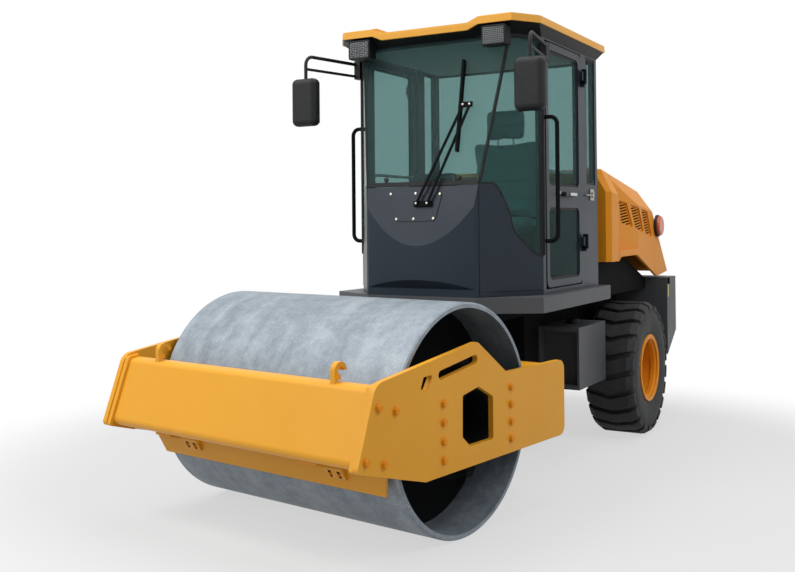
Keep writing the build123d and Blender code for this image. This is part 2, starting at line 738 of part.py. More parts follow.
for side, word in ((1, "fuel_tank"), (-1, "hydraulic_tank")):
    box_y = side * (FRAME_Y + BOX_Y) / 2
    box_z = (BOX_LOW + BOX_TOP) / 2
    with BuildPart() as tank:
        with Locations(((BOX_FRONT + BOX_REAR) / 2, box_y, box_z)):
            Box(BOX_FRONT - BOX_REAR, BOX_Y - FRAME_Y, BOX_TOP - BOX_LOW)
        with Locations((BOX_FRONT - BOX_RECESS / 2, box_y, box_z)):
            Box(BOX_RECESS, BOX_Y - FRAME_Y - 2 * BOX_WALL, BOX_TOP - BOX_LOW - 4 * BOX_WALL,
                mode=Mode.SUBTRACT)
    keep(word, tank.part)

# Ballast box, lashing eyes and engine

with BuildPart() as rear_ballast:
    with BuildSketch(y_plane(BALLAST_Y)):
        outline_face([(FRAME_REAR, BALLAST_LOW_FRONT), (FRAME_REAR, BALLAST_TOP), (BALLAST_REAR, BALLAST_TOP),
                      (BALLAST_REAR, BALLAST_LOW_REAR)])
    extrude(amount=2 * BALLAST_Y)
keep("rear_ballast", rear_ballast.part)

eyes = []
for side, word in SIDES:
    with BuildPart() as eye:
        with BuildSketch(y_plane(side * EYE_Y + EYE_T / 2)):
            with Locations((BALLAST_REAR - EYE_REACH, EYE_Z)):
                Circle(2 * EYE_R)
            with Locations((BALLAST_REAR - EYE_REACH / 2, EYE_Z)):
                Rectangle(EYE_REACH, 4 * EYE_R)
            with Locations((BALLAST_REAR - EYE_REACH, EYE_Z)):
                Circle(EYE_R, mode=Mode.SUBTRACT)
        extrude(amount=EYE_T)
    eyes.append(eye.part)
keep("lashing_eyes", Compound(eyes))

with BuildPart() as engine_block:
    engine_low = frame_back + CROSS_MEMBER_H
    with Locations(((ENGINE_FRONT + ENGINE_REAR) / 2, 0, (engine_low + ENGINE_TOP) / 2)):
        Box(ENGINE_FRONT - ENGINE_REAR, inner_w - 4 * SWING_GAP, ENGINE_TOP - engine_low)
keep("engine_block", engine_block.part)

# Cab frame: sill, header, posts, lower quarter and rear walls, door hinge pins

facet_slope = (CAB_Y - FRONT_Y) / (FRONT_X - PILLAR_X)


def facet_y(x):
    """Half-width of the cab on its angled front corner at x."""
    return CAB_Y - facet_slope * (x - PILLAR_X)


def raked_x(z):
    """X of the raked windscreen plane at height z."""
    return FRONT_X - RAKE * (z - WAIST_Z)


def cab_plan(front_x):
    """Plan of the cab with its angled corners, cut off at front_x."""
    left = [(CAB_REAR, CAB_Y), (PILLAR_X, CAB_Y), (front_x, facet_y(front_x))]
    return left + [(x, -y) for x, y in reversed(left)]


sill_top = DECK_Z + SILL_H
header_low = CAB_TOP - HEADER_H
roof_z = CAB_TOP + ROOF_LIFT
soffit_low = roof_z - SOFFIT_H
header_front = raked_x(soffit_low) - GLASS_T - SEAM
post_x = CAB_REAR + POST_BACK
hinge_y = CAB_Y + HINGE_OUT
door_rear = post_x + DOOR_POST_D / 2 + SWING_GAP
door_front = PILLAR_X - PILLAR_D - SWING_GAP
hinge_x = door_rear - 2 * SWING_GAP
door_low = sill_top + SWING_GAP
door_high = header_low - SWING_GAP
hinge_zs = (door_low + HINGE_LOW, door_high - HINGE_HIGH)
POSTS = [(PILLAR_X - PILLAR_D / 2, PILLAR_D), (CAB_REAR + WALL / 2, WALL), (post_x, DOOR_POST_D)]
with BuildPart() as cab_frame:
    for level, height, front_x in ((DECK_Z, SILL_H, FRONT_X - WALL), (header_low, HEADER_H, header_front)):
        with BuildSketch(Plane.XY.offset(level)):
            outline_face(cab_plan(front_x))
            offset(amount=-WALL, kind=Kind.INTERSECTION, mode=Mode.SUBTRACT)
        extrude(amount=height)
    for side, word in SIDES:
        wall_y = side * (CAB_Y - WALL / 2)
        for centre_x, depth in POSTS:
            with Locations((centre_x, wall_y, (DECK_Z + CAB_TOP) / 2)):
                Box(depth, WALL, CAB_TOP - DECK_Z)
        with Locations(((CAB_REAR + post_x) / 2, wall_y, (DECK_Z + QUARTER_Z) / 2)):
            Box(post_x - CAB_REAR, WALL, QUARTER_Z - DECK_Z)
        for hinge_z in hinge_zs:
            with Locations((hinge_x - HINGE_R, side * (CAB_Y + HINGE_OUT / 2), hinge_z)):
                Box(3 * HINGE_R, HINGE_OUT, HINGE_LUG)
            with Locations((hinge_x, side * hinge_y, hinge_z + HINGE_L / 2)):
                Cylinder(HINGE_PIN_R, HINGE_LUG + HINGE_L)
    with Locations((CAB_REAR + WALL / 2, 0, (DECK_Z + QUARTER_Z) / 2)):
        Box(WALL, 2 * CAB_Y - WALL, QUARTER_Z - DECK_Z)
keep("cab_frame", cab_frame.part)

# Lower front panel: bowed front, raked tongue above and an undercut chin below

corner_x = FRONT_X + CORNER_OUT
corner_y = facet_y(corner_x)
panel_rear = FRONT_X - WALL
with BuildPart() as cab_front_panel:
    with BuildSketch(Plane.XY.offset(DECK_Z)):
        with BuildLine():
            ThreePointArc((corner_x, corner_y), (FRONT_X + FRONT_BULGE, 0), (corner_x, -corner_y))
            Polyline((corner_x, -corner_y), (FRONT_X, -FRONT_Y), (panel_rear, -FRONT_Y),
                     (panel_rear, FRONT_Y), (FRONT_X, FRONT_Y), (corner_x, corner_y))
        make_face()
    extrude(amount=WAIST_Z - DECK_Z)
    with BuildSketch(y_plane(CAB_Y)):
        tongue_x = raked_x(TONGUE_Z)
        outline_face([(panel_rear - WALL, DECK_Z), (corner_x, DECK_Z), (corner_x, CHIN_LOW),
                      (tongue_x, CHIN_HIGH), (tongue_x, TONGUE_Z), (FRONT_X, WAIST_Z),
                      (panel_rear - WALL, WAIST_Z)])
    extrude(amount=2 * CAB_Y, mode=Mode.INTERSECT)
keep("cab_front_panel", cab_front_panel.part)

with BuildPart() as windscreen:
    slant = hypot(1, RAKE)
    with BuildSketch(Plane(origin=(FRONT_X, 0, WAIST_Z), x_dir=(0, 1, 0), z_dir=(1, 0, RAKE))):
        top_y = facet_y(raked_x(soffit_low))
        rise = (soffit_low - WAIST_Z) * slant
        outline_face([(-FRONT_Y, SEAM), (FRONT_Y, SEAM), (top_y, rise), (-top_y, rise)])
    extrude(amount=-GLASS_T)
keep("windscreen", windscreen.part)

# Angled corners: a panel below and a pane above, parted by an S-shaped edge

facet_l = hypot(FRONT_X - PILLAR_X, CAB_Y - FRONT_Y)
corner_panels = []
panes = []
for side, word in SIDES:
    corner = Plane(
        origin=(PILLAR_X, side * CAB_Y, WAIST_Z), x_dir=(FRONT_X - PILLAR_X, side * (FRONT_Y - CAB_Y), 0),
        z_dir=(FRONT_Y - CAB_Y, side * (PILLAR_X - FRONT_X), 0))
    up = 1 if corner.y_dir.Z > 0 else -1
    sill_v = (sill_top - WAIST_Z) * up
    header_v = (header_low - WAIST_Z) * up
    curve = [(facet_l - SEAM, 0), *((share * facet_l, -fall * up) for share, fall in S_CURVE),
             (SEAM, (S_CURVE_LOW - WAIST_Z) * up)]
    with BuildPart() as corner_panel:
        with BuildSketch(corner):
            with BuildLine():
                Spline(*curve, tangents=((-1, 0), (-1, 0)))
                Polyline(curve[-1], (SEAM, sill_v), (facet_l - SEAM, sill_v), curve[0])
            make_face()
        extrude(amount=PANEL_T)
        add(cab_frame.part, mode=Mode.SUBTRACT)
        add(cab_front_panel.part, mode=Mode.SUBTRACT)
    corner_panels.append(corner_panel.part)
    top_l = hypot(raked_x(header_low) - PILLAR_X, CAB_Y - facet_y(raked_x(header_low)))
    with BuildPart() as pane:
        with BuildSketch(corner):
            with BuildLine():
                Spline(*curve, tangents=((-1, 0), (-1, 0)))
                Polyline(curve[-1], (SEAM, header_v), (top_l - SEAM, header_v), curve[0])
            make_face()
        extrude(amount=GLASS_T)
        for neighbour in (cab_frame, windscreen, cab_front_panel, corner_panel):
            add(neighbour.part, mode=Mode.SUBTRACT)
    panes.append(pane.part)
keep("cab_corner_panels", Compound(corner_panels))

pane_z = (QUARTER_Z + header_low) / 2
pane_h = header_low - QUARTER_Z
quarter_front = post_x - DOOR_POST_D / 2
quarter_rear = CAB_REAR + WALL
for side, word in SIDES:
    with BuildPart() as quarter:
        with Locations(((quarter_front + quarter_rear) / 2, side * (CAB_Y - GLASS_IN), pane_z)):
            Box(quarter_front - quarter_rear, GLASS_T, pane_h)
    panes.append(quarter.part)
with BuildPart() as rear_pane:
    with Locations((CAB_REAR + GLASS_IN, 0, pane_z)):
        Box(GLASS_T, 2 * (CAB_Y - WALL), pane_h)
panes.append(rear_pane.part)
keep("cab_glass", Compound(panes))

# Roof: black soffit, yellow cap with raised ears over the lamps

roof_front = raked_x(soffit_low) + ROOF_OVER
ROOF_PLAN = [(ROOF_REAR, ROOF_Y), (roof_front - ROOF_FACET_L, ROOF_Y), (roof_front, ROOF_FACET_Y)]
ROOF_PLAN += [(x, -y) for x, y in reversed(ROOF_PLAN)]
roof_top = roof_z + ROOF_FASCIA + ROOF_CROWN


def dip_points(depth, base):
    """Front view of the sunk middle of the roof, from the given height up."""
    run = DIP_RUN * depth / ROOF_DIP
    return [(-DIP_Y - run, base), (-DIP_Y, base - depth), (DIP_Y, base - depth), (DIP_Y + run, base)]


with BuildPart() as roof_cap:
    for level, grow in ((roof_z, 0), (roof_z + ROOF_FASCIA, -ROOF_DRAW), (roof_top, -CROWN_DRAW)):
        with BuildSketch(Plane.XY.offset(level)):
            outline_face(ROOF_PLAN)
            if grow:
                offset(amount=grow, kind=Kind.INTERSECTION, mode=Mode.REPLACE)
    loft(ruled=True)
    with BuildSketch(x_plane(roof_front + SEAM)):
        dip_rim = [(DIP_Y + DIP_RUN, roof_top + SEAM), (-DIP_Y - DIP_RUN, roof_top + SEAM)]
        outline_face(dip_points(ROOF_DIP, roof_z + ROOF_FASCIA) + dip_rim)
    extrude(amount=-DIP_L, mode=Mode.SUBTRACT)
    with BuildSketch(x_plane(roof_front)):
        outline_face(dip_points(ROOF_DIP, roof_z))
    extrude(amount=-DIP_LIP_T)
keep("roof_cap", roof_cap.part)

with BuildPart() as roof_liner:
    for level, plan, grow in ((soffit_low, cab_plan(header_front), SEAM), (roof_z, ROOF_PLAN, -SOFFIT_IN)):
        with BuildSketch(Plane.XY.offset(level)):
            outline_face(plan)
            offset(amount=grow, kind=Kind.INTERSECTION, mode=Mode.REPLACE)
    loft(ruled=True)
    with BuildSketch(Plane.XY.offset(soffit_low)):
        outline_face(cab_plan(header_front))
    extrude(amount=CAB_TOP - soffit_low, mode=Mode.SUBTRACT)
    add(roof_cap.part, mode=Mode.SUBTRACT)
keep("roof_liner", roof_liner.part)

# Work lamps under the ears

lamp_top = roof_z - LAMP_DROP
lamp_x = raked_x(lamp_top - LAMP_H) + LAMP_GAP + LAMP_D / 2
lamps = []
for side, word in SIDES:
    with BuildPart() as lamp:
        with Locations((lamp_x, side * LAMP_Y, lamp_top - LAMP_H / 2)):
            Box(LAMP_D, LAMP_W, LAMP_H)
        fillet(lamp.edges().filter_by(Axis.X), LAMP_R)
        with Locations((lamp_x, side * LAMP_Y, (lamp_top + roof_z) / 2)):
            Box(LAMP_D / 3, LAMP_W / 2, roof_z - lamp_top)
        add(roof_liner.part, mode=Mode.SUBTRACT)
    lamps.append(lamp.part)
keep("work_lamps", Compound(lamps))

# Mirrors on bent arms, grab handles

arm_top = CAB_TOP - ARM_DROP
mirror_z = arm_top - MIRROR_DROP
mirrors = []
rails = []
for side, word in SIDES:
    stay_y = side * (CAB_Y + 3 * ARM_R)
    with BuildPart() as mirror_set:
        with Locations((MIRROR_X, side * MIRROR_Y, mirror_z)):
            Box(MIRROR_D, MIRROR_W, MIRROR_H)
        fillet(mirror_set.edges(), MIRROR_R)
        with Locations((PILLAR_X, side * (CAB_Y + 2 * ARM_R), arm_top - BRACKET_H / 3)):
            Box(5 * ARM_R, 4 * ARM_R, BRACKET_H)
        with BuildLine() as arm_path:
            FilletPolyline((PILLAR_X, stay_y, arm_top), (MIRROR_X, side * MIRROR_Y, arm_top),
                           (MIRROR_X, side * MIRROR_Y, mirror_z), radius=ARM_BEND)
        with BuildSketch(Plane(origin=arm_path.line @ 0, z_dir=arm_path.line % 0)):
            Circle(ARM_R)
        sweep(path=arm_path.line)
        with BuildLine() as brace_path:
            Line((PILLAR_X, stay_y, arm_top - 2 * BRACKET_H / 3),
                 (MIRROR_X, side * MIRROR_Y, arm_top - BRACE_DROP))
        with BuildSketch(Plane(origin=brace_path.line @ 0, z_dir=brace_path.line % 0)):
            Circle(BRACE_R)
        sweep(path=brace_path.line)
    mirrors.append(mirror_set.part)
    with BuildPart() as grab:
        rail_x = PILLAR_X - PILLAR_D / 2
        rail_y = side * (CAB_Y + GRAB_OUT)
        with BuildLine() as rail:
            FilletPolyline((rail_x, side * CAB_Y, GRAB_LOW), (rail_x, rail_y, GRAB_LOW),
                           (rail_x, rail_y, GRAB_HIGH), (rail_x, side * CAB_Y, GRAB_HIGH), radius=GRAB_BEND)
        with BuildSketch(Plane(origin=rail.line @ 0, z_dir=rail.line % 0)):
            Circle(GRAB_R)
        sweep(path=rail.line)
    rails.append(grab.part)
keep("mirrors", Compound(mirrors))
keep("grab_handles", Compound(rails))

# Wiper: motor foot, two parallel arms and a blade on the raked glass

blade_mid = rise - BLADE_CLEAR - BLADE_L / 2
with BuildPart() as wiper:
    glass_plane = Plane(origin=(FRONT_X, 0, WAIST_Z), x_dir=(0, 1, 0), z_dir=(1, 0, RAKE))
    with BuildSketch(glass_plane):
        with Locations(WIPER_FOOT):
            Rectangle(WIPER_FOOT_W, WIPER_FOOT_H)
    extrude(amount=WIPER_FOOT_T)
    with BuildSketch(glass_plane.offset(WIPER_FOOT_T)):
        for turn in (-0.5, 0.5):
            foot = WIPER_FOOT[0] + turn * WIPER_SPREAD
            tip = WIPER_TIP_Y + turn * WIPER_TIP_SPREAD
            outline_face([(foot - WIPER_ARM_W / 2, WIPER_FOOT[1]), (foot + WIPER_ARM_W / 2, WIPER_FOOT[1]),
                          (tip + WIPER_ARM_W / 2, blade_mid), (tip - WIPER_ARM_W / 2, blade_mid)])
        with Locations(((WIPER_TIP_Y + BLADE_Y) / 2 + WIPER_ARM_W, blade_mid)):
            Rectangle(WIPER_TIP_Y - BLADE_Y + 3 * WIPER_ARM_W, 2 * WIPER_ARM_W)
    extrude(amount=WIPER_ARM_T)
    with BuildSketch(glass_plane.offset(SEAM)):
        with Locations((BLADE_Y, blade_mid)):
            Rectangle(WIPER_ARM_W, BLADE_L)
    extrude(amount=BLADE_T)
keep("wiper", wiper.part)

# Seat and steering column

with BuildPart() as seat_base:
    with Locations((SEAT_X, 0, (DECK_Z + SEAT_BASE_TOP) / 2)):
        Box(SEAT_BASE_D, SEAT_BASE_W, SEAT_BASE_TOP - DECK_Z)
keep("seat_base", seat_base.part)

with BuildPart() as seat_cushion:
    with Locations((SEAT_X, 0, SEAT_BASE_TOP + CUSHION_T / 2)):
        Box(CUSHION_D, SEAT_W, CUSHION_T)
    fillet(seat_cushion.edges().filter_by(Axis.Y), CUSHION_R)
keep("seat_cushion", seat_cushion.part)

backrest = []
back_low = SEAT_BASE_TOP + CUSHION_T
back_top = CAB_TOP - BACK_DROP
headrest = (back_top + HEADREST_GAP, CAB_TOP - HEADREST_DROP, HEADREST_W)
for low, high, width in ((back_low, back_top, SEAT_W), headrest):
    with BuildPart() as cushion:
        with Locations((BACK_X, 0, (low + high) / 2)):
            Box(BACK_T, width, high - low)
        fillet(cushion.edges().filter_by(Axis.X), BACK_R)
    backrest.append(cushion.part)
for post_y in (POST_Y, -POST_Y):
    with BuildPart() as post:
        with Locations((BACK_X, post_y, back_top + HEADREST_GAP / 2)):
            Cylinder(POST_R, HEADREST_GAP)
    backrest.append(post.part)
keep("seat_backrest", Compound(backrest))

tilt = radians(COLUMN_TILT)
column_foot = (COLUMN_X + COLUMN_FOOT[0], 0, DECK_Z + COLUMN_FOOT[1])
column = Plane(origin=column_foot, x_dir=(0, 1, 0), z_dir=(-sin(tilt), 0, cos(tilt)))
with BuildPart() as steering_column:
    with BuildSketch(y_plane(PEDESTAL_W / 2)):
        outline_face([(COLUMN_X + x, DECK_Z + z) for x, z in PEDESTAL])
    extrude(amount=PEDESTAL_W)
    with BuildSketch(column):
        Circle(COLUMN_R)
    extrude(amount=COLUMN_L)
    with BuildSketch(column.offset(COLUMN_L - STEER_SUNK)):
        Circle(STEER_WHEEL_R)
        Circle(STEER_WHEEL_R - STEER_RIM, mode=Mode.SUBTRACT)
        Rectangle(2 * STEER_WHEEL_R - STEER_RIM, STEER_SPOKE)
        with Locations((0, -STEER_WHEEL_R / 2)):
            Rectangle(STEER_SPOKE, STEER_WHEEL_R - STEER_RIM / 2)
    extrude(amount=STEER_T)
keep("steering_column", steering_column.part)

# Doors, hinged at their rear edges

door_mid_x = (door_front + door_rear) / 2
light_w = door_front - door_rear - 2 * DOOR_STILE
LIGHTS = [(DOOR_RAIL_HIGH, door_high - DOOR_STILE), (door_low + DOOR_STILE, DOOR_RAIL_LOW)]
for side, word in SIDES:
    outer_y = side * (CAB_Y + DOOR_PROUD)
    with BuildPart() as door_glass:
        for low, high in LIGHTS:
            with Locations((door_mid_x, side * (CAB_Y - GLASS_IN), (low + high) / 2)):
                Box(light_w + 2 * GLASS_LAP, GLASS_T, high - low + 2 * GLASS_LAP)
    with BuildPart() as door:
        with BuildSketch(y_plane(outer_y if side > 0 else outer_y + DOOR_T)):
            with Locations((door_mid_x, (door_low + door_high) / 2)):
                RectangleRounded(door_front - door_rear, door_high - door_low, DOOR_CORNER_R)
            for low, high in LIGHTS:
                with Locations((door_mid_x, (low + high) / 2)):
                    RectangleRounded(light_w, high - low, DOOR_CORNER_R, mode=Mode.SUBTRACT)
        extrude(amount=DOOR_T)
        for hinge_z in hinge_zs:
            knuckle_z = hinge_z + (HINGE_LUG + HINGE_L) / 2 + HINGE_SLIDE
            with Locations((hinge_x, side * hinge_y, knuckle_z)):
                Cylinder(HINGE_R, HINGE_L)
            with Locations((hinge_x + 1.5 * HINGE_R, side * (CAB_Y + DOOR_PROUD + HINGE_OUT / 2), knuckle_z)):
                Box(3 * HINGE_R, HINGE_OUT + SEAM, HINGE_L)
            with Locations((hinge_x, side * hinge_y, knuckle_z)):
                Cylinder(HINGE_PIN_R + PIN_GAP, HINGE_L, mode=Mode.SUBTRACT)
        handle_y = outer_y + side * HANDLE_OUT / 2
        with Locations((HANDLE_X, outer_y + side * (HANDLE_OUT - HANDLE_T / 2), HANDLE_Z)):
            Box(HANDLE_L, HANDLE_T, HANDLE_W)
        handle_half = (HANDLE_L - HANDLE_W) / 2
        for foot_x in (HANDLE_X - handle_half, HANDLE_X + handle_half):
            with Locations((foot_x, handle_y, HANDLE_Z)):
                Box(HANDLE_W, HANDLE_OUT, HANDLE_W)
        add(door_glass.part, mode=Mode.SUBTRACT)
    keep("door_" + word, door.part)
    keep("door_glass_" + word, door_glass.part)

# Cowl behind the cab, and the hood hinged to its upper rear edge


def hood_section(inset, x):
    """Section of the hood at x, drawn in by a wall."""
    back = COWL_FRONT - x
    left = [(HOOD_Y - inset, DECK_Z), (HOOD_Y - inset, SHOULDER_Z - SHOULDER_FALL * back),
            (HOOD_TOP_Y - inset, CREST_Z - CREST_FALL * back - inset)]
    return left + [(-y, z) for y, z in reversed(left)]


def hood_body(stations):
    """Solid through the hood's sections, each station giving its x and inset."""
    with BuildPart() as body:
        for x, inset in stations:
            with BuildSketch(x_plane(x)):
                outline_face(hood_section(inset, x))
        loft(ruled=True)
    return body.part


def flank_wedge(inset):
    """Plan of the hollowed flank ahead of the wheel arch: deepest at the front, none at its end."""
    flank_y = HOOD_Y - inset
    outside = HOOD_Y + SEAM
    return [(hood_front, outside), (LEDGE_END, outside), (LEDGE_END, flank_y),
            (hood_front, flank_y - FLANK_IN)]


def hood_solid(inset):
    """Whole hood without its underside, drawn in by a wall."""
    body = hood_body([(hood_front, inset), (HOOD_TAIL, inset)])
    tail = [(HOOD_TAIL + TAIL_LEAN * inset, HOOD_TAIL_Z), (tail_top_x + TAIL_LEAN * inset, CREST_Z)]
    with BuildPart() as solid:
        with BuildSketch(y_plane(HOOD_Y)):
            outline_face([(hood_front, DECK_Z), (tail[0][0], DECK_Z), *tail, (hood_front, CREST_Z)])
        extrude(amount=2 * HOOD_Y)
        add(body, mode=Mode.INTERSECT)
        with BuildSketch(Plane.XY.offset(LEDGE_Z - inset)):
            outline_face(flank_wedge(inset))
            mirror(about=Plane.XZ)
        extrude(amount=CREST_Z - LEDGE_Z + inset, mode=Mode.SUBTRACT)
    return solid.part


hood_front = COWL_REAR - SWING_GAP
tail_top_x = HOOD_TAIL + TAIL_SLOPE * (CREST_Z - HOOD_TAIL_Z)
hood_hinge_x = hood_front + SWING_GAP / 2
hood_hinge_z = CREST_Z - CREST_FALL * (COWL_FRONT - hood_front) + HOOD_HINGE_UP
hood_hinge_ys = (HOOD_HINGE_Y, -HOOD_HINGE_Y)
lug_step = (HOOD_EYE_L + HOOD_LUG_W) / 2 + SEAM
cowl_outer = hood_body([(COWL_FRONT, COWL_EDGE), (COWL_FRONT - COWL_EDGE, 0), (COWL_REAR, 0)])
cowl_inner = hood_body([
    (COWL_FRONT - HOOD_T, COWL_EDGE + HOOD_T), (COWL_FRONT - COWL_EDGE, HOOD_T), (COWL_REAR, HOOD_T)])

with BuildPart() as engine_cowl:
    add(cowl_outer)
    add(cowl_inner, mode=Mode.SUBTRACT)
    with Locations((COWL_REAR, 0, HOOD_Z0 - HOOD_Y)):
        Box(2 * HOOD_Y, 2 * HOOD_Y + SEAM, 2 * HOOD_Y, mode=Mode.SUBTRACT)
    with Locations((COWL_FRONT - HOOD_T / 2, 0, (TUB_Z + TUB_T + HOOD_Z0 + HOOD_T) / 2)):
        Box(HOOD_T, 2 * (TUB_Y - TUB_T), HOOD_Z0 + HOOD_T - TUB_Z - TUB_T)
    for hood_eye_y in hood_hinge_ys:
        for lug_y in (hood_eye_y + lug_step, hood_eye_y - lug_step):
            with Locations((hood_hinge_x + HOOD_EYE_R / 2, lug_y, hood_hinge_z)):
                Box(2 * HOOD_EYE_R, HOOD_LUG_W, 2 * HOOD_EYE_R)
            with Locations((COWL_REAR + HOOD_EYE_R, lug_y, hood_hinge_z - HOOD_HINGE_UP / 2)):
                Box(HOOD_EYE_R, HOOD_LUG_W, HOOD_HINGE_UP + HOOD_T)
        with Locations(along_y(hood_hinge_x, hood_eye_y, hood_hinge_z)):
            Cylinder(HOOD_PIN_R, HOOD_EYE_L + 2 * HOOD_LUG_W)
keep("engine_cowl", engine_cowl.part)

hood_outer = hood_solid(0)
hood_inner = hood_solid(HOOD_T)
with BuildPart() as hood:
    with BuildSketch(y_plane(HOOD_Y)):
        outline_face([(hood_front, HOOD_Z0), *ARCH, (HOOD_TAIL, HOOD_TAIL_Z), (HOOD_TAIL, CREST_Z),
                      (hood_front, CREST_Z)])
    extrude(amount=2 * HOOD_Y)
    add(hood_outer, mode=Mode.INTERSECT)
    add(hood_inner, mode=Mode.SUBTRACT)
    with BuildSketch(y_plane(HOOD_Y)) as vents:
        for grille_outline in GRILLE_OUTLINES:
            outline_face(grille_outline)
        fillet(vents.vertices(), GRILLE_R)
    extrude(amount=2 * HOOD_Y, mode=Mode.SUBTRACT)
    for hood_eye_y in hood_hinge_ys:
        with Locations(along_y(hood_hinge_x, hood_eye_y, hood_hinge_z)):
            Cylinder(HOOD_EYE_R, HOOD_EYE_L)
        strap_z = hood_hinge_z - HOOD_HINGE_UP / 2 - HOOD_T / 4
        with Locations((hood_hinge_x - HOOD_EYE_R, hood_eye_y, strap_z)):
            Box(1.4 * HOOD_EYE_R, HOOD_EYE_L, HOOD_HINGE_UP + HOOD_T / 2)
        with Locations(along_y(hood_hinge_x, hood_eye_y, hood_hinge_z)):
            Cylinder(HOOD_PIN_R + PIN_GAP, HOOD_EYE_L, mode=Mode.SUBTRACT)
keep("hood", hood.part)

# Grille plates set into the hood's flanks, with slots across them

grille_face = hood_solid(GRILLE_RECESS)
grille_back = hood_solid(GRILLE_RECESS + GRILLE_T)
grilles = []
for side, word in SIDES:
    for grille_outline in GRILLE_OUTLINES:
        mid_x = sum(x for x, z in grille_outline) / len(grille_outline)
        mid_z = sum(z for x, z in grille_outline) / len(grille_outline)
        slot_edge = [
            (mid_x + GRILLE_OPEN * (x - mid_x), mid_z + GRILLE_OPEN * (z - mid_z)) for x, z in grille_outline]
        with BuildPart() as grille:
            with BuildSketch(y_plane(HOOD_Y if side > 0 else -HOOD_TOP_Y / 2)) as vent:
                outline_face(grille_outline)
                fillet(vent.vertices(), GRILLE_R)
            extrude(amount=HOOD_Y - HOOD_TOP_Y / 2)
            add(grille_face, mode=Mode.INTERSECT)
            add(grille_back, mode=Mode.SUBTRACT)
            with BuildSketch(y_plane(HOOD_Y)):
                with Locations((mid_x, mid_z)):
                    with GridLocations(1, GRILLE_SLOT_PITCH, 1, GRILLE_SLOT_ROWS):
                        Rectangle(HOOD_Y, GRILLE_SLOT_W, rotation=GRILLE_SLOT_TILT)
                outline_face(slot_edge, mode=Mode.INTERSECT)
            extrude(amount=2 * HOOD_Y, mode=Mode.SUBTRACT)
        grilles.append(grille.part)
keep("hood_grilles", Compound(grilles))

# Round tail lamps on the hood's rear corners, facing outward

tail_lamps = []
for side, word in SIDES:
    with BuildPart() as tail_lamp:
        with Locations(along_y(TAIL_LAMP_X, side * (HOOD_Y + TAIL_LAMP_T / 2), TAIL_LAMP_Z)):
            Cylinder(TAIL_LAMP_R, TAIL_LAMP_T)
        lamp_rims = tail_lamp.edges().filter_by(GeomType.CIRCLE).sort_by(Axis.Y)
        fillet(lamp_rims[-1 if side > 0 else 0], TAIL_LAMP_T / 3)
    tail_lamps.append(tail_lamp.part)
keep("tail_lamps", Compound(tail_lamps))

# Rear wheels: dished rim and tyre with chevron lugs

tread_r = TYRE_R - LUG_H
bead_y = RIM_W / 2 - RIM_T
CARCASS = [(TYRE_W / 2, WALL_R), (BUTTRESS_Y, tread_r - LUG_H), (SHOULDER_Y, tread_r)]
LUG_HALF = [(-LUG_W / 2, 0), (-LUG_W / 2 - LUG_SWEEP, TYRE_W / 2), (LUG_W / 2 - LUG_SWEEP, TYRE_W / 2),
            (LUG_W / 2, 0)]


def mirrored(points):
    """Half of a wheel's profile, closed by its mirror image across the wheel's middle."""
    return [(r, -y) for r, y in points] + [(r, y) for r, y in reversed(points)]


for side, word in SIDES:
    hub = Location((axle_x, side * WHEEL_Y, TYRE_R))
    disc_y = -side * DISC_IN
    bore_r = SPINDLE_R + RUN_GAP
    with BuildPart() as rim:
        with BuildSketch(Plane.XY):
            outline_face(mirrored([(RIM_R - RIM_T, RIM_W / 2), (RIM_R + RIM_LIP, RIM_W / 2),
                                   (RIM_R + RIM_LIP, RIM_W / 2 - RIM_T), (RIM_R, RIM_W / 2 - RIM_T)]))
            with Locations(((bore_r + RIM_R - RIM_T / 2) / 2, disc_y)):
                Rectangle(RIM_R - RIM_T / 2 - bore_r, DISC_T)
            with Locations(((bore_r + RIM_HUB_R) / 2, disc_y)):
                Rectangle(RIM_HUB_R - bore_r, RIM_HUB_L)
        revolve(axis=Axis.Y)
    keep("wheel_rim_" + word, rim.part.moved(hub))
    with BuildPart() as lug_band:
        for y, r in ((-LUG_END_Y, tread_r), (-SHOULDER_Y, TYRE_R), (SHOULDER_Y, TYRE_R), (LUG_END_Y, tread_r)):
            with BuildSketch(y_plane(y)):
                RegularPolygon(r, TYRE_SIDES)
        loft(ruled=True)
    with BuildPart() as lug:
        with BuildSketch(Plane.XY.offset(tread_r - 2 * LUG_H)):
            outline_face(LUG_HALF)
            mirror(about=Plane.XZ)
        extrude(amount=4 * LUG_H)
        add(lug_band.part, mode=Mode.INTERSECT)
    with BuildPart() as tyre:
        for y, r in [(-y, r) for y, r in CARCASS] + CARCASS[::-1]:
            with BuildSketch(y_plane(y)):
                RegularPolygon(r, TYRE_SIDES)
        loft(ruled=True)
        add([lug.part.rotate(Axis.Y, 360 * i / LUG_COUNT) for i in range(LUG_COUNT)])
        with Locations(along_y(0, 0, 0)):
            Cylinder(RIM_R, TYRE_W, mode=Mode.SUBTRACT)
        bead_mid = (bead_y + TYRE_W / 2) / 2
        with Locations(along_y(0, bead_mid, 0), along_y(0, -bead_mid, 0)):
            Cylinder(RIM_R + RIM_LIP + BEAD_GAP, TYRE_W / 2 - bead_y, mode=Mode.SUBTRACT)
    keep("wheel_tyre_" + word, tyre.part.moved(hub))

# Shift to the row's origin and write every piece

boxes = [piece.bounding_box() for piece in pieces.values()]
low = Vector(min(b.min.X for b in boxes), min(b.min.Y for b in boxes), min(b.min.Z for b in boxes))
high = Vector(max(b.max.X for b in boxes), max(b.max.Y for b in boxes), max(b.max.Z for b in boxes))
to_row = Location((-(low.X + high.X) / 2, -(low.Y + high.Y) / 2, -low.Z))
for piece_name, piece in pieces.items():
    placed = piece.moved(to_row)
    placed.label = piece_name
    export_step(placed, "parts/" + piece_name + ".step")
print("pieces", len(pieces), "shift", tuple(to_row.position))
print("size", tuple(high - low))
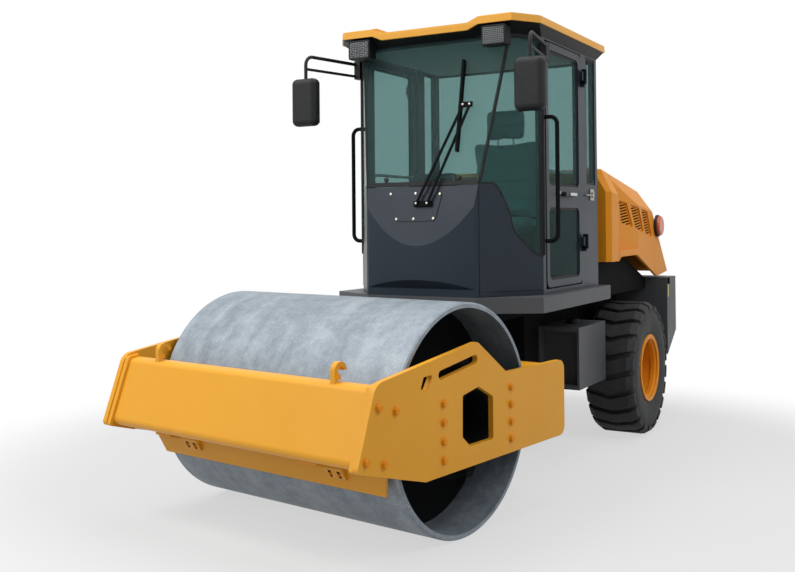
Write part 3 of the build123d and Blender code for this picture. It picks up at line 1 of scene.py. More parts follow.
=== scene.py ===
"""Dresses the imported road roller: finishes for its CAD nodes, fine pieces, studio and camera.

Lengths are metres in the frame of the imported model. Places on the rear half are counted from the
articulation axis on the ground, and places on the front half from the drum's axis.
"""
from __future__ import annotations

import json
import logging
import math
from contextlib import contextmanager
from dataclasses import dataclass, field
from enum import Enum
from typing import Any, Callable, Iterable, Iterator, Sequence

import bpy
from mathutils import Matrix, Vector

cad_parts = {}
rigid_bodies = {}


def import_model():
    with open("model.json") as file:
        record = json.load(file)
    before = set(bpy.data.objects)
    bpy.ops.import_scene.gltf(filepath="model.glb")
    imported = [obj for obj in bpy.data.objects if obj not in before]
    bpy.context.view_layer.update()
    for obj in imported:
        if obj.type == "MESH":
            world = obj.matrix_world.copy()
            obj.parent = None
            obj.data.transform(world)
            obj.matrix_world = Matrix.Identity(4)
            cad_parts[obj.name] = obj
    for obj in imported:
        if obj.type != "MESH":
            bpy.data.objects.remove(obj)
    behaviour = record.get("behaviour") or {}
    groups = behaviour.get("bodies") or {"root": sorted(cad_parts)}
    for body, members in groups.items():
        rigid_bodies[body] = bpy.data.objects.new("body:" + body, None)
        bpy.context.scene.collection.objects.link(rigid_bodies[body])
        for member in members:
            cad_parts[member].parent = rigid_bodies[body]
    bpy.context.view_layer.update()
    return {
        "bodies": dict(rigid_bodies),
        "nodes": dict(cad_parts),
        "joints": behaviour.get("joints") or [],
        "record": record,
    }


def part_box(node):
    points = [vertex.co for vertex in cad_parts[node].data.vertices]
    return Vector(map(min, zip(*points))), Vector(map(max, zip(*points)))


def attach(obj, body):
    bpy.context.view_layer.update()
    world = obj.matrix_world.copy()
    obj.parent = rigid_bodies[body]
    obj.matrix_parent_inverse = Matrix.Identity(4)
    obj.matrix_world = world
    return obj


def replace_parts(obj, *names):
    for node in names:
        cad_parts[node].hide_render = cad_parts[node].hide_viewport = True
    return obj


log = logging.getLogger("road_roller")
REAR, FRONT = "rear", "front_frame"
CAB_RAKE = 0.1986  # how far the cab's front leans back for each metre of height
BEND_STEPS = 8  # points on each rounded corner of a path
UNTURNED = Matrix.Identity(4)
ALONG_X = Matrix.Rotation(math.pi / 2, 4, "Y")  # lays a shape made along Z along X
ALONG_Y = Matrix.Rotation(-math.pi / 2, 4, "X")  # and along Y
Piece = bpy.types.Object
Tree = bpy.types.NodeTree
Node = bpy.types.Node
Socket = bpy.types.NodeSocket
Point = Sequence[float]
Spot = tuple[float, float]
Spots = tuple[Spot, ...]


class Side(Enum):
    """The machine's two sides, as the sign of Y."""

    LEFT = 1
    RIGHT = -1

    @property
    def word(self) -> str:
        """The side's name as the CAD nodes spell it."""
        return self.name.lower()

    @property
    def door(self) -> str:
        """Body of this side's door."""
        return "door_" + self.word

    @property
    def outward(self) -> Matrix:
        """Turn that points a shape made along Z out of this side."""
        return Matrix.Rotation(-self.value * math.pi / 2, 4, "X")


def linear(hex_colour: str) -> tuple[float, float, float, float]:
    """Turns an sRGB hex colour into linear values.

    Args:
        hex_colour: Six hex digits after a hash sign.

    Returns:
        Linear red, green and blue, and full alpha.
    """
    parts = [int(hex_colour[i:i + 2], 16) / 255 for i in (1, 3, 5)]
    red, green, blue = (p / 12.92 if p <= 0.04045 else ((p + 0.055) / 1.055) ** 2.4 for p in parts)
    return red, green, blue, 1.0


def facing(out: Point, up: Point) -> Matrix:
    """A turn that stands a flat piece on a face.

    Args:
        out: Direction that the piece's Z takes.
        up: Direction that its Y takes, at right angles to the first.

    Returns:
        The turn.
    """
    front, rise = Vector(out).normalized(), Vector(up).normalized()
    return Matrix((rise.cross(front), rise, front)).transposed().to_4x4()


def per_mm(size_mm: float) -> float:
    """Texture scale that repeats a pattern about once in so many millimetres."""
    return 1000.0 / size_mm


def feed(tree: Tree, node: Node, settings: dict[Any, Any]) -> Node:
    """Sets a node's properties and inputs.

    Args:
        tree: The node's tree.
        node: Node to set.
        settings: Properties by name, and values or sockets for inputs by socket name or number.

    Returns:
        The same node.
    """
    for key, value in settings.items():
        if isinstance(value, Socket):
            tree.links.new(value, node.inputs[key])
        elif isinstance(key, str) and hasattr(node, key):
            setattr(node, key, value)
        else:
            node.inputs[key].default_value = value
    return node


def add_node(tree: Tree, kind: str, settings: dict[Any, Any] | None = None) -> Node:
    """Adds one shader node; its kind is Blender's name without the words that all of them start with."""
    return feed(tree, tree.nodes.new("ShaderNode" + kind), settings or {})


def emptied(owner: bpy.types.ID) -> Tree:
    """Gives a material or a world an empty node tree."""
    owner.use_nodes = True
    owner.node_tree.nodes.clear()
    return owner.node_tree


@dataclass
class Coat:
    """A material's nodes while its finish is laid out."""

    tree: Tree
    shader: Node
    place: Socket

    def noise(self, size_mm: float, detail: float, rough: float = 0.5, place: Socket | None = None) -> Socket:
        """Clouds about so many millimetres across."""
        return add_node(self.tree, "TexNoise", {"Scale": per_mm(size_mm), "Detail": detail, "Roughness": rough,
                                                "Vector": place or self.place}).outputs[0]

    def ramp(self, value: Socket, start: float = 0.0, stop: float = 1.0, low: float = 0.0,
             high: float = 1.0) -> Socket:
        """Maps a value from the range start to stop to the range low to high."""
        return add_node(self.tree, "MapRange", {"From Min": start, "From Max": stop, "To Min": low, "To Max": high,
                                                "Value": value}).outputs[0]

    def mix(self, amount: Socket, low: Any, high: Any) -> Socket:
        """Blends two colours, each a socket or a linear colour."""
        return add_node(self.tree, "Mix", {"data_type": "RGBA", 0: amount, 6: low, 7: high}).outputs[2]

    def calc(self, operation: str, *values: Socket | float) -> Socket:
        """Does one sum on sockets or numbers."""
        return add_node(self.tree, "Math", {"operation": operation, **dict(enumerate(values))}).outputs[0]

    def wear(self, settings: dict[str, Any]) -> None:
        """Sets inputs of the material's shader."""
        feed(self.tree, self.shader, settings)

    def bump(self, height: Socket, strength: float, depth_mm: float, normal: Socket | None = None) -> None:
        """Raises a pattern on the surface, on top of another normal if one is given."""
        settings = {"Strength": strength, "Distance": depth_mm / 1000, "Height": height}
        if normal:
            settings["Normal"] = normal
        self.wear({"Normal": add_node(self.tree, "Bump", settings).outputs[0]})


@dataclass(frozen=True)
class Finish:
    """A surface as a material: one principled shader whose colour and bump come from small patterns."""

    name: str
    colour: str
    slot: str
    roughness: float = 0.45
    metallic: float = 0.0
    ior: float = 1.5

    def make(self) -> bpy.types.Material:
        """Builds the material.

        Returns:
            The finished material.
        """
        material = bpy.data.materials.new(self.name)
        tree = emptied(material)
        shader = add_node(tree, "BsdfPrincipled", {"Base Color": linear(self.colour), "Roughness": self.roughness,
                                                   "Metallic": self.metallic, "IOR": self.ior})
        add_node(tree, "OutputMaterial", {"Surface": shader.outputs["BSDF"]})
        self.dress(Coat(tree, shader, add_node(tree, "TexCoord").outputs["Object"]))
        return material

    def dress(self, coat: Coat) -> None:
        """Adds this finish's own patterns.

        Args:
            coat: The material's nodes.
        """

    def gloss(self, coat: Coat, cloud: Socket, less: float, more: float) -> None:
        """Lets the roughness drift with the clouds, between so much less and so much more."""
        coat.wear({"Roughness": coat.ramp(cloud, low=self.roughness - less, high=self.roughness + more)})


@dataclass(frozen=True)
class SprayedPaint(Finish):
    """Two-pack machine enamel: faint orange peel, thin dust and rubbed edges."""

    shade: str = "#000000"
    rubbed: str = "#6A6258"
    peel_mm: float = 5.0
    peel: float = 0.05
    edge_mm: float = 3.0
    wear: float = 0.35
    shine: float = 0.25
    coat: float = 0.06

    def dress(self, coat: Coat) -> None:
        """See Finish.dress."""
        cloud = coat.noise(420, detail=6.0, rough=0.6)
        tone = coat.mix(coat.ramp(cloud, 0.38, 0.68, high=0.22), linear(self.colour), linear(self.shade))
        rounded = add_node(coat.tree, "Bevel", {"samples": 4, "Radius": self.edge_mm / 1000}).outputs[0]
        flat = add_node(coat.tree, "NewGeometry").outputs["Normal"]
        meet = add_node(coat.tree, "VectorMath", {"operation": "DOT_PRODUCT", 0: rounded, 1: flat})
        edge = coat.ramp(meet.outputs["Value"], 0.985, 0.80)
        chips = coat.ramp(coat.noise(18, detail=5.0, rough=0.7), 0.52, 0.66, high=self.wear)
        worn = coat.calc("MULTIPLY", edge, chips)
        coat.wear({"Base Color": coat.mix(worn, tone, linear(self.rubbed)), "Specular IOR Level": self.shine,
                   "Coat Weight": self.coat, "Coat Roughness": 0.12})
        self.gloss(coat, cloud, less=0.06, more=0.12)
        coat.bump(coat.noise(self.peel_mm, detail=2.0), self.peel, depth_mm=1.0, normal=rounded)


@dataclass(frozen=True)
class RolledSteel(Finish):
    """Drum steel polished by gravel: blue-grey, clouded, with pale pocks and bands round the shell."""

    pale: str = "#D2D7DA"
    dark: str = "#77818A"
    steer: float = math.radians(-8.56)

    def dress(self, coat: Coat) -> None:
        """See Finish.dress."""
        turn = {"Rotation": (0.0, 0.0, -self.steer), "Vector": coat.place}
        straight = add_node(coat.tree, "Mapping", turn).outputs[0]
        stretch = {"Scale": (0.9, per_mm(110), 0.9), "Vector": straight}
        bands = coat.noise(1000, 4.0, 0.55, add_node(coat.tree, "Mapping", stretch).outputs[0])
        cloud = coat.noise(90, detail=10.0, rough=0.72)
        smudge = coat.calc("MULTIPLY_ADD", bands, 0.35, coat.calc("MULTIPLY", cloud, 0.65))
        base = coat.mix(coat.ramp(smudge, 0.40, 0.60), linear(self.dark), linear(self.colour))
        pocks = coat.noise(9, detail=3.0, rough=0.8)
        coat.wear({"Base Color": coat.mix(coat.ramp(pocks, 0.60, 0.72, high=0.75), base, linear(self.pale))})
        self.gloss(coat, cloud, less=0.08, more=0.16)
        coat.bump(pocks, strength=0.12, depth_mm=2.0)


@dataclass(frozen=True)
class Moulded(Finish):
    """Moulded or cast stuff such as rubber, plastic and iron: fine grain, a little dust in patches."""

    dust: str = "#4A4743"
    grain_mm: float = 2.5
    grain: float = 0.15
    dusty: float = 0.25

    def dress(self, coat: Coat) -> None:
        """See Finish.dress."""
        drift = coat.ramp(coat.noise(120, detail=7.0, rough=0.65), 0.45, 0.75, high=self.dusty)
        coat.wear({"Base Color": coat.mix(drift, linear(self.colour), linear(self.dust)), "Specular IOR Level": 0.25})
        coat.bump(coat.noise(self.grain_mm, detail=3.0), self.grain, depth_mm=1.0)


@dataclass(frozen=True)
class TintedGlass(Finish):
    """Green heat-absorbing safety glass; the part that isn't see-through lays a pale matt veil over the dark inside, a
    painted reflection in place of the glints its low index keeps out.
    """

    # Share of light let through; the rest is the pale matt veil of painted reflection.
    clear: float = 0.94

    def dress(self, coat: Coat) -> None:
        """See Finish.dress."""
        haze = coat.ramp(coat.noise(300, detail=5.0), 0.4, 0.8, high=0.06)
        # The share that isn't transmitted is the matt veil, a painted reflection.
        coat.wear({"Roughness": haze, "Transmission Weight": self.clear})


@dataclass(frozen=True)
class PlatedSteel(Finish):
    """Zinc or chrome plate, a little stained."""

    def dress(self, coat: Coat) -> None:
        """See Finish.dress."""
        self.gloss(coat, coat.noise(14, detail=4.0), less=0.1, more=0.15)


@dataclass(frozen=True)
class LampLens(Finish):
    """Pressed lamp glass or amber acrylic, with the small cells of its mould."""

    through: float = 0.55

    def dress(self, coat: Coat) -> None:
        """See Finish.dress."""
        cells = add_node(coat.tree, "TexVoronoi", {"Scale": per_mm(12), "Vector": coat.place})
        coat.bump(cells.outputs[0], strength=0.35, depth_mm=2.0)
        coat.wear({"Transmission Weight": self.through})


class Surface(Enum):
    """Every finish on the machine."""

    # Warm glossy yellow of the drum frame and roof, and the deeper orange of hood, rims and bolts.
    YELLOW = SprayedPaint("yellow_enamel", "#E8A32A", "yellow_paint", 0.38, shade="#DA9420")
    ORANGE = SprayedPaint("orange_enamel", "#EA9420", "yellow_paint", 0.42, shade="#D68618", shine=0.15, coat=0.0)
    # Blue-black panels of the cab, which mirror the light softly.
    GRAPHITE = SprayedPaint("graphite_enamel", "#232C36", "graphite_paint", 0.36, shade="#1C242D", rubbed="#4C545E",
                            shine=0.22, coat=0.0)
    # Plain grey and dull black of frames and boxes, which stay behind the bright paint.
    GREY = SprayedPaint("grey_enamel", "#4C4D4F", "grey_paint", 0.5, shade="#3D3E40", rubbed="#77746E")
    BLACK = SprayedPaint("black_chassis_paint", "#151617", "black_paint", 0.7, shade="#1D1D1E", rubbed="#43413E",
                         shine=0.03, coat=0.0)
    # The drum's clouded pale steel, then bright rods and screws and the mirrors' glass.
    DRUM = RolledSteel("rolled_drum_steel", "#98A1A8", "worn_steel", 0.52, 0.3)
    STEEL = PlatedSteel("hard_chrome", "#B9BBBE", "steel", 0.25, 1.0)
    ZINC = PlatedSteel("zinc_plate", "#A09C92", "steel", 0.35, 1.0)
    MIRROR = PlatedSteel("silvered_glass", "#D3D6D8", "steel", 0.12, 1.0)
    # Dull dark stuff: engine, plastic, tyres with dust on them, and black rubber lines round the panes.
    IRON = Moulded("cast_iron", "#34363A", "engine_iron", 0.65, 0.3, dust="#4E4A44")
    PLASTIC = Moulded("moulded_plastic", "#151618", "black_plastic", 0.55, dust="#33322F")
    RUBBER = Moulded("vulcanised_tread", "#2C2D2E", "tyre_rubber", 0.7, dust="#4B4A47", dusty=0.5)
    GASKET = Moulded("rubber_gasket", "#0E0F10", "black_plastic", 0.6, dusty=0.1)
    # The pale ceiling and the green seat, seen through green glass; its low index keeps lamp glints out of the panes,
    # and its pale matt veil is a painted reflection in their place.
    LINING = Moulded("moulded_headliner", "#A9AFAC", "grey_paint", 0.8, dust="#9AA09D", grain_mm=4.0, grain=0.3)
    VINYL = Moulded("seat_vinyl", "#47807C", "seat_cover", 0.55, dust="#58908B", grain_mm=3.0, grain=0.3)
    GLASS = TintedGlass("green_safety_glass", "#A2BCBA", "tinted_glass", 0.03, 0.0, 1.02)
    # Sparks of lamps and reflectors.
    LENS = LampLens("pressed_lens", "#8A8E90", "lamp", 0.15)
    AMBER = LampLens("amber_acrylic", "#E8601A", "amber_lens", 0.15, through=0.35)
    STRIP = LampLens("yellow_reflector", "#D9C24A", "amber_lens", 0.3, through=0.1)

    def paint(self, piece: Piece) -> None:
        """Gives a piece this finish alone."""
        piece.data.materials.clear()
        piece.data.materials.append(bpy.data.materials.get(self.value.name) or self.value.make())


class Bench:
    """Modelling steps, done with Blender's own operators."""

    @staticmethod
    def clear() -> None:
        """Leaves edit mode and selects nothing."""
        if bpy.context.object and bpy.context.object.mode != "OBJECT":
            bpy.ops.object.mode_set(mode="OBJECT")
        bpy.ops.object.select_all(action="DESELECT")

    @staticmethod
    def take(*pieces: Piece) -> None:
        """Selects these pieces alone and makes the first one active."""
        Bench.clear()
        for piece in pieces:
            piece.select_set(True)
        bpy.context.view_layer.objects.active = pieces[0]

    @staticmethod
    def put(name: str, data: bpy.types.ID) -> Piece:
        """Puts an object with this mesh, lamp or camera into the scene."""
        piece = bpy.data.objects.new(name, data)
        bpy.context.scene.collection.objects.link(piece)
        return piece

    @staticmethod
    @contextmanager
    def editing(piece: Piece, wanted: Callable[[bpy.types.MeshPolygon], bool] | None = None) -> Iterator[None]:
        """Opens a piece in edit mode, and leaves it again.

        Args:
            piece: Object to edit.
            wanted: Test that a face passes to be selected; without it the whole mesh is.

        Yields:
            Nothing, while edit mode is on.
        """
        Bench.take(piece)
        bpy.ops.object.mode_set(mode="EDIT")
        bpy.ops.mesh.select_all(action="DESELECT" if wanted else "SELECT")
        if wanted:
            bpy.ops.mesh.select_mode(type="FACE")
            bpy.ops.object.mode_set(mode="OBJECT")
            for face in piece.data.polygons:
                face.select = wanted(face)
            bpy.ops.object.mode_set(mode="EDIT")
        yield
        bpy.ops.object.mode_set(mode="OBJECT")

    @staticmethod
    def settle(piece: Piece, place: Matrix = UNTURNED) -> Piece:
        """Moves a piece and puts its place into its mesh.

        Args:
            piece: Object to move.
            place: Where it goes, on top of where it is.

        Returns:
            The same object.
        """
        Bench.take(piece)
        if place is not UNTURNED:
            piece.matrix_world = place @ piece.matrix_world
        bpy.ops.object.transform_apply(location=True, rotation=True, scale=True)
        return piece

    @staticmethod
    def modify(piece: Piece, kind: str, **settings: Any) -> Piece:
        """Adds a modifier and applies it.

        Args:
            piece: Object to change.
            kind: Blender's name of the modifier type.
            settings: The modifier's values.

        Returns:
            The same object.
        """
        Bench.take(piece)
        step = piece.modifiers.new(kind.title(), kind)
        for key, value in settings.items():
            setattr(step, key, value)
        bpy.ops.object.modifier_apply(modifier=step.name)
        return piece

    @staticmethod
    def soften(piece: Piece, width: float, segments: int = 2) -> Piece:
        """Rounds a piece's sharp edges, if the width isn't nought."""
        return Bench.modify(piece, "BEVEL", width=width, segments=segments, limit_method="ANGLE",
                            harden_normals=False) if width else piece

    @staticmethod
    def smooth(piece: Piece, degrees: float) -> Piece:
        """Shades a piece smooth, apart from edges sharper than so many degrees."""
        Bench.take(piece)
        bpy.ops.object.shade_smooth_by_angle(angle=math.radians(degrees))
        return piece

    @staticmethod
    def outward(piece: Piece) -> Piece:
        """Merges doubled points and turns all faces outwards."""
        with Bench.editing(piece):
            bpy.ops.mesh.remove_doubles(threshold=1e-5)
            bpy.ops.mesh.normals_make_consistent(inside=False)
        return piece

    @staticmethod
    def block(name: str, size: Point, centre: Point = (0, 0, 0), edge: float = 0.0, segments: int = 2) -> Piece:
        """A box with rounded edges.

        Args:
            name: Piece name.
            size: Lengths along X, Y and Z.
            centre: Middle of the box.
            edge: Radius of its edges.
            segments: Facets on each rounded edge.

        Returns:
            The new object.
        """
        Bench.clear()
        bpy.ops.mesh.primitive_cube_add(size=1, location=centre)
        piece = bpy.context.object
        piece.name = name
        piece.scale = size
        return Bench.soften(Bench.settle(piece), edge, segments)

    @staticmethod
    def disc(name: str, radius: float, depth: float, middle: float = 0.0, sides: int = 32, edge: float = 0.0) -> Piece:
        """A round or many-sided bar along Z with rounded rims.

        Args:
            name: Piece name.
            radius: Radius to the corners.
            depth: Length along the axis.
            middle: Height of the bar's middle.
            sides: Number of sides.
            edge: Radius of its rims.

        Returns:
            The new object.
        """
        Bench.clear()
        bpy.ops.mesh.primitive_cylinder_add(vertices=sides, radius=radius, depth=depth)
        piece = bpy.context.object
        piece.name = name
        Bench.soften(Bench.settle(piece, Matrix.Translation((0, 0, middle))), edge)
        return Bench.smooth(piece, degrees=40) if sides > 8 else piece

    @staticmethod
    def outlined(name: str, points: Sequence[Point], fill: str) -> Piece:
        """A ring of points as a mesh, filled or open as Blender's fill type says."""
        Bench.clear()
        bpy.ops.mesh.primitive_circle_add(vertices=len(points), fill_type=fill)
        piece = bpy.context.object
        piece.name = name
        for corner, point in zip(piece.data.vertices, points):
            corner.co = point
        return piece

    @staticmethod
    def slab(name: str, outline: Sequence[Point], along: Point, edge: float = 0.0) -> Piece:
        """A flat outline pulled out along a direction.

        Args:
            name: Piece name.
            outline: Corner points in space, in order round the outline.
            along: Direction and depth of the pull.
            edge: Radius of its edges.

        Returns:
            The new object.
        """
        piece = Bench.settle(Bench.outlined(name, outline, "NGON"))
        with Bench.editing(piece):
            bpy.ops.mesh.extrude_region_move(TRANSFORM_OT_translate={"value": tuple(along)})
        return Bench.soften(Bench.outward(piece), edge)

    @staticmethod
    def turned(name: str, profile: Iterable[Spot], steps: int = 64) -> Piece:
        """A closed profile spun about Z.

        Args:
            name: Piece name.
            profile: Radius and height of each corner, in order.
            steps: Facets round the turn.

        Returns:
            The new object.
        """
        piece = Bench.outlined(name, [(radius, 0.0, height) for radius, height in profile], "NOTHING")
        with Bench.editing(piece):
            bpy.ops.mesh.spin(steps=steps, angle=2 * math.pi, center=(0, 0, 0), axis=(0, 0, 1))
        return Bench.smooth(Bench.outward(piece), degrees=30)

    @staticmethod
    def tube(name: str, path: Sequence[Point], radius: float, bend: float) -> Piece:
        """A round bar along a path.

        Args:
            name: Piece name.
            path: Points of the bar's middle line.
            radius: Radius of the bar.
            bend: How far from each corner its curve starts.

        Returns:
            The new object.
        """
        Bench.clear()
        bpy.ops.curve.primitive_bezier_curve_add()
        piece = bpy.context.object
        piece.name = name
        piece.data.splines.clear()
        spline = piece.data.splines.new("POLY")
        points = Bench.rounded(path, bend)
        spline.points.add(len(points) - 1)
        for knot, point in zip(spline.points, points):
            knot.co = (*point, 1.0)
        piece.data.bevel_depth = radius
        piece.data.bevel_resolution = 4
        piece.data.use_fill_caps = True
        bpy.ops.object.convert(target="MESH")
        return Bench.smooth(Bench.outward(bpy.context.object), degrees=50)

    @staticmethod
    def rounded(path: Sequence[Point], bend: float) -> list[Vector]:
        """Rounds the corners of a path.

        Args:
            path: Corner points.
            bend: How far from each corner its curve starts.

        Returns:
            Points of the rounded path.
        """
        corners = [Vector(p) for p in path]
        line = [corners[0]]
        for before, at, after in zip(corners, corners[1:], corners[2:]):
            start = at + (before - at).normalized() * bend
            end = at + (after - at).normalized() * bend
            for i in range(BEND_STEPS + 1):
                t = i / BEND_STEPS
                line.append(start * (1 - t) ** 2 + at * 2 * t * (1 - t) + end * t ** 2)
        return line + [corners[-1]]

    @staticmethod
    def join(name: str, pieces: Sequence[Piece]) -> Piece:
        """Makes several pieces one object under a new name."""
        Bench.take(*pieces)
        if len(pieces) > 1:
            bpy.ops.object.join()
        pieces[0].name = name
        return pieces[0]

    @staticmethod
    def copies(name: str, master: Piece, places: Iterable[Matrix]) -> Piece:
        """Sets copies of a piece at several places, joined as one object, and removes the piece itself.

        Args:
            name: Name of the result.
            master: Piece to repeat.
            places: Where the copies go.

        Returns:
            The joined object.
        """
        made = [Bench.settle(Bench.put(name, master.data.copy()), place) for place in places]
        bpy.data.objects.remove(master)
        return Bench.join(name, made)


@dataclass
class Machine:
    """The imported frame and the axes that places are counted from."""

    frame: dict[str, Any]
    joints: dict[str, Any] = field(init=False)
    hitch: Vector = field(init=False)
    drum: Vector = field(init=False)
    steer: float = field(init=False)

    def __post_init__(self) -> None:
        """Reads the articulation axis, the drum's axis and the steering angle."""
        self.joints = {joint["name"]: joint for joint in self.frame["joints"]}
        self.hitch = Vector(self.joints["articulation"]["pos_m"])
        self.drum = Vector(self.joints["drum_roll"]["pos_m"])
        across = self.joints["drum_roll"]["axis"]
        self.steer = math.atan2(-across[0], across[1])

    def node(self, name: str) -> Piece:
        """A CAD node's object."""
        return self.frame["nodes"][name]


@dataclass
class Group:
    """A sub-assembly: what every one of them needs to place and hand over its pieces."""

    machine: Machine

    def rear(self, x: float, y: float, z: float) -> Vector:
        """A point of the rear half, from the articulation axis on the ground."""
        return Vector((self.machine.hitch.x + x, self.machine.hitch.y + y, z))

    def rear_place(self, x: float, y: float, z: float, turn: Matrix = UNTURNED) -> Matrix:
        """A place on the rear half, turned first if asked."""
        return Matrix.Translation(self.rear(x, y, z)) @ turn

    def both_sides(self, x: float, y: float, z: float) -> list[Matrix]:
        """Places on both flanks of the rear half, each facing out."""
        return [self.rear_place(x, side.value * y, z, side.outward) for side in Side]

    def add(self, piece: Piece, surface: Surface, body: str = REAR, place: Matrix = UNTURNED) -> Piece:
        """Paints a finished piece and lets it ride on a body.

        Args:
            piece: Finished object.
            surface: Its finish.
            body: Body that carries it.
            place: Where it goes, if it isn't there yet.

        Returns:
            The same object.
        """
        if place is not UNTURNED:
            Bench.settle(piece, place)
        surface.paint(piece)
        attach(piece, body)
        log.info("%s on %s, %d faces", piece.name, body, len(piece.data.polygons))
        return piece

    def repeat(self, name: str, master: Piece, places: Iterable[Matrix], surface: Surface, body: str = REAR) -> None:
        """Adds copies of a piece at several places, as one object."""
        self.add(Bench.copies(name, master, places), surface, body)


@dataclass
class NodeCoats(Group):
    """Finishes of the CAD nodes that stay as they are."""

    by_slot: dict[str, Surface] = field(default_factory=lambda: {
        "yellow_paint": Surface.YELLOW, "worn_steel": Surface.DRUM, "steel": Surface.STEEL,
        "black_paint": Surface.BLACK, "grey_paint": Surface.GREY, "graphite_paint": Surface.GRAPHITE,
        "engine_iron": Surface.IRON, "black_plastic": Surface.PLASTIC, "lamp": Surface.PLASTIC,
        "amber_lens": Surface.AMBER, "tinted_glass": Surface.GLASS, "seat_cover": Surface.VINYL,
        "tyre_rubber": Surface.RUBBER})
    orange_nodes: tuple[str, ...] = ("wheel_rim_left", "wheel_rim_right", "hood", "hood_grilles", "engine_cowl")

    def build(self) -> None:
        """Paints every node by its slot in the record."""
        for part in self.machine.frame["record"]["subparts"]:
            orange = part["node"] in self.orange_nodes
            surface = Surface.ORANGE if orange else self.by_slot[part["material_slot"]]
            surface.paint(self.machine.node(part["node"]))


@dataclass
class Bolt:
    """A hexagon bolt with its washer, head up."""

    across: float = 0.030
    height: float = 0.013
    washer: float = 0.021
    washer_height: float = 0.004
    chamfer: float = 0.0022

    def make(self) -> Piece:
        """Models one bolt with the washer's underside at the origin.

        Returns:
            The bolt, as one object.
        """
        washer = Bench.disc("washer", self.washer, self.washer_height, self.washer_height / 2, sides=24, edge=0.001)
        middle = self.washer_height + self.height / 2
        head = Bench.disc("head", self.across / math.sqrt(3), self.height, middle, sides=6)
        with Bench.editing(head, lambda face: face.normal.z > 0.9):
            bpy.ops.mesh.bevel(offset=self.chamfer, segments=2, affect="EDGES")
        return Bench.join("bolt", [washer, head])


@dataclass
class FrontFrame(Group):
    """Bolts and slotted scraper brackets of the drum frame, placed from the drum's axis."""

    plate_y: float = 0.920
    column_x: float = 0.306
    column_z: tuple[float, ...] = (-0.137, -0.046, 0.046, 0.137)
    nose_bolts: Spots = ((0.799, 0.189), (0.677, 0.157), (0.886, -0.036), (0.763, -0.068))
    bracket_y: float = 0.525
    bracket_at: Spot = (0.652, -0.192)
    bracket_out: Point = (0.847, 0.0, -0.531)
    bracket_up: Point = (0.531, 0.0, 0.847)
    slot: Point = (0.017, 0.042, 0.004)
    slot_edge: float = 0.0019
    slot_shifts: Spot = (-0.029, 0.029)
    small_bolt: Bolt = field(default_factory=lambda: Bolt(0.013, 0.007, 0.0095, 0.003, 0.001))

    def place(self, x: float, y: float, z: float, turn: Matrix) -> Matrix:
        """A place from the drum's axis, in line with the steered frame."""
        straight = Matrix.Translation(self.machine.drum) @ Matrix.Rotation(self.machine.steer, 4, "Z")
        return straight @ Matrix.Translation((x, y, z)) @ turn

    def build(self) -> None:
        """Models the bolts on both side plates and, on the scraper's brackets, black blocks of painted shade for the
        slots' openings, with their bolts.
        """
        spots = [(x, z) for x in (-self.column_x, self.column_x) for z in self.column_z] + list(self.nose_bolts)
        places = [self.place(x, side.value * self.plate_y, z, side.outward) for side in Side for x, z in spots]
        self.repeat("side_plate_bolts", Bolt().make(), places, Surface.ORANGE, FRONT)
        stand = facing(self.bracket_out, self.bracket_up)
        x, z = self.bracket_at
        places = [self.place(x, side.value * self.bracket_y + shift, z, stand)
                  for side in Side for shift in self.slot_shifts]
        # Each slot is a black block: painted shade of the opening through the bracket.
        slot = Bench.block("slot", self.slot, edge=self.slot_edge)
        self.repeat("scraper_slots", slot, places, Surface.BLACK, FRONT)
        self.repeat("scraper_bolts", self.small_bolt.make(), places, Surface.ORANGE, FRONT)


@dataclass
class Glazing(Group):
    """Black rubber round every pane, cut from the pane's own outline; round the corner panes it is partly painted
    shadow of the pillars.
    """

    joint: float = 0.006
    seam_and_shadow: float = 0.014
    wide: float = 0.020
    narrow: float = 0.026
    proud: float = 0.003
    aligned: float = 0.998
    corner: Spot = (0.261, 0.369)

    def rim(self, node: str, name: str, facings: Sequence[Point], width: float, body: str = REAR) -> None:
        """Makes the rubber rim of a node's panes.

        Args:
            node: CAD node with the panes.
            name: Name of the rim.
            facings: Outward directions of the panes that get a rim.
            width: Width of the rim.
            body: Body that carries them.
        """
        piece = Bench.outward(Bench.put(name, self.machine.node(node).data.copy()))
        outward = [Vector(f).normalized() for f in facings]
        with Bench.editing(piece, lambda face: not any(face.normal.dot(f) > self.aligned for f in outward)):
            bpy.ops.mesh.delete(type="FACE")
            bpy.ops.mesh.select_all(action="SELECT")
            bpy.ops.mesh.dissolve_limited(angle_limit=0.02)
            bpy.ops.mesh.inset(thickness=width, use_boundary=True)
            bpy.ops.mesh.delete(type="FACE")
        self.add(Bench.modify(piece, "SOLIDIFY", thickness=self.proud, offset=1.0), Surface.GASKET, body)

    def build(self) -> None:
        """Makes the rims of the windscreen, the corner panes (rubber and painted pillar shadow), the quarter and rear
        panes and the doors.
        """
        out, across = self.corner
        self.rim("windscreen", "windscreen_rim", [(1, 0, CAB_RAKE)], self.joint)
        # The corner panes' black band is the rubber and, along the pillar, painted shadow.
        self.rim("cab_glass", "corner_glass_rims", [(out, across, 0), (out, -across, 0)], self.seam_and_shadow)
        self.rim("cab_glass", "rear_glass_rims", [(0, 1, 0), (0, -1, 0), (-1, 0, 0)], self.wide)
        for side in Side:
            name = "door_glass_rims_" + side.word
            self.rim("door_glass_" + side.word, name, [(0, side.value, 0)], self.narrow, side.door)


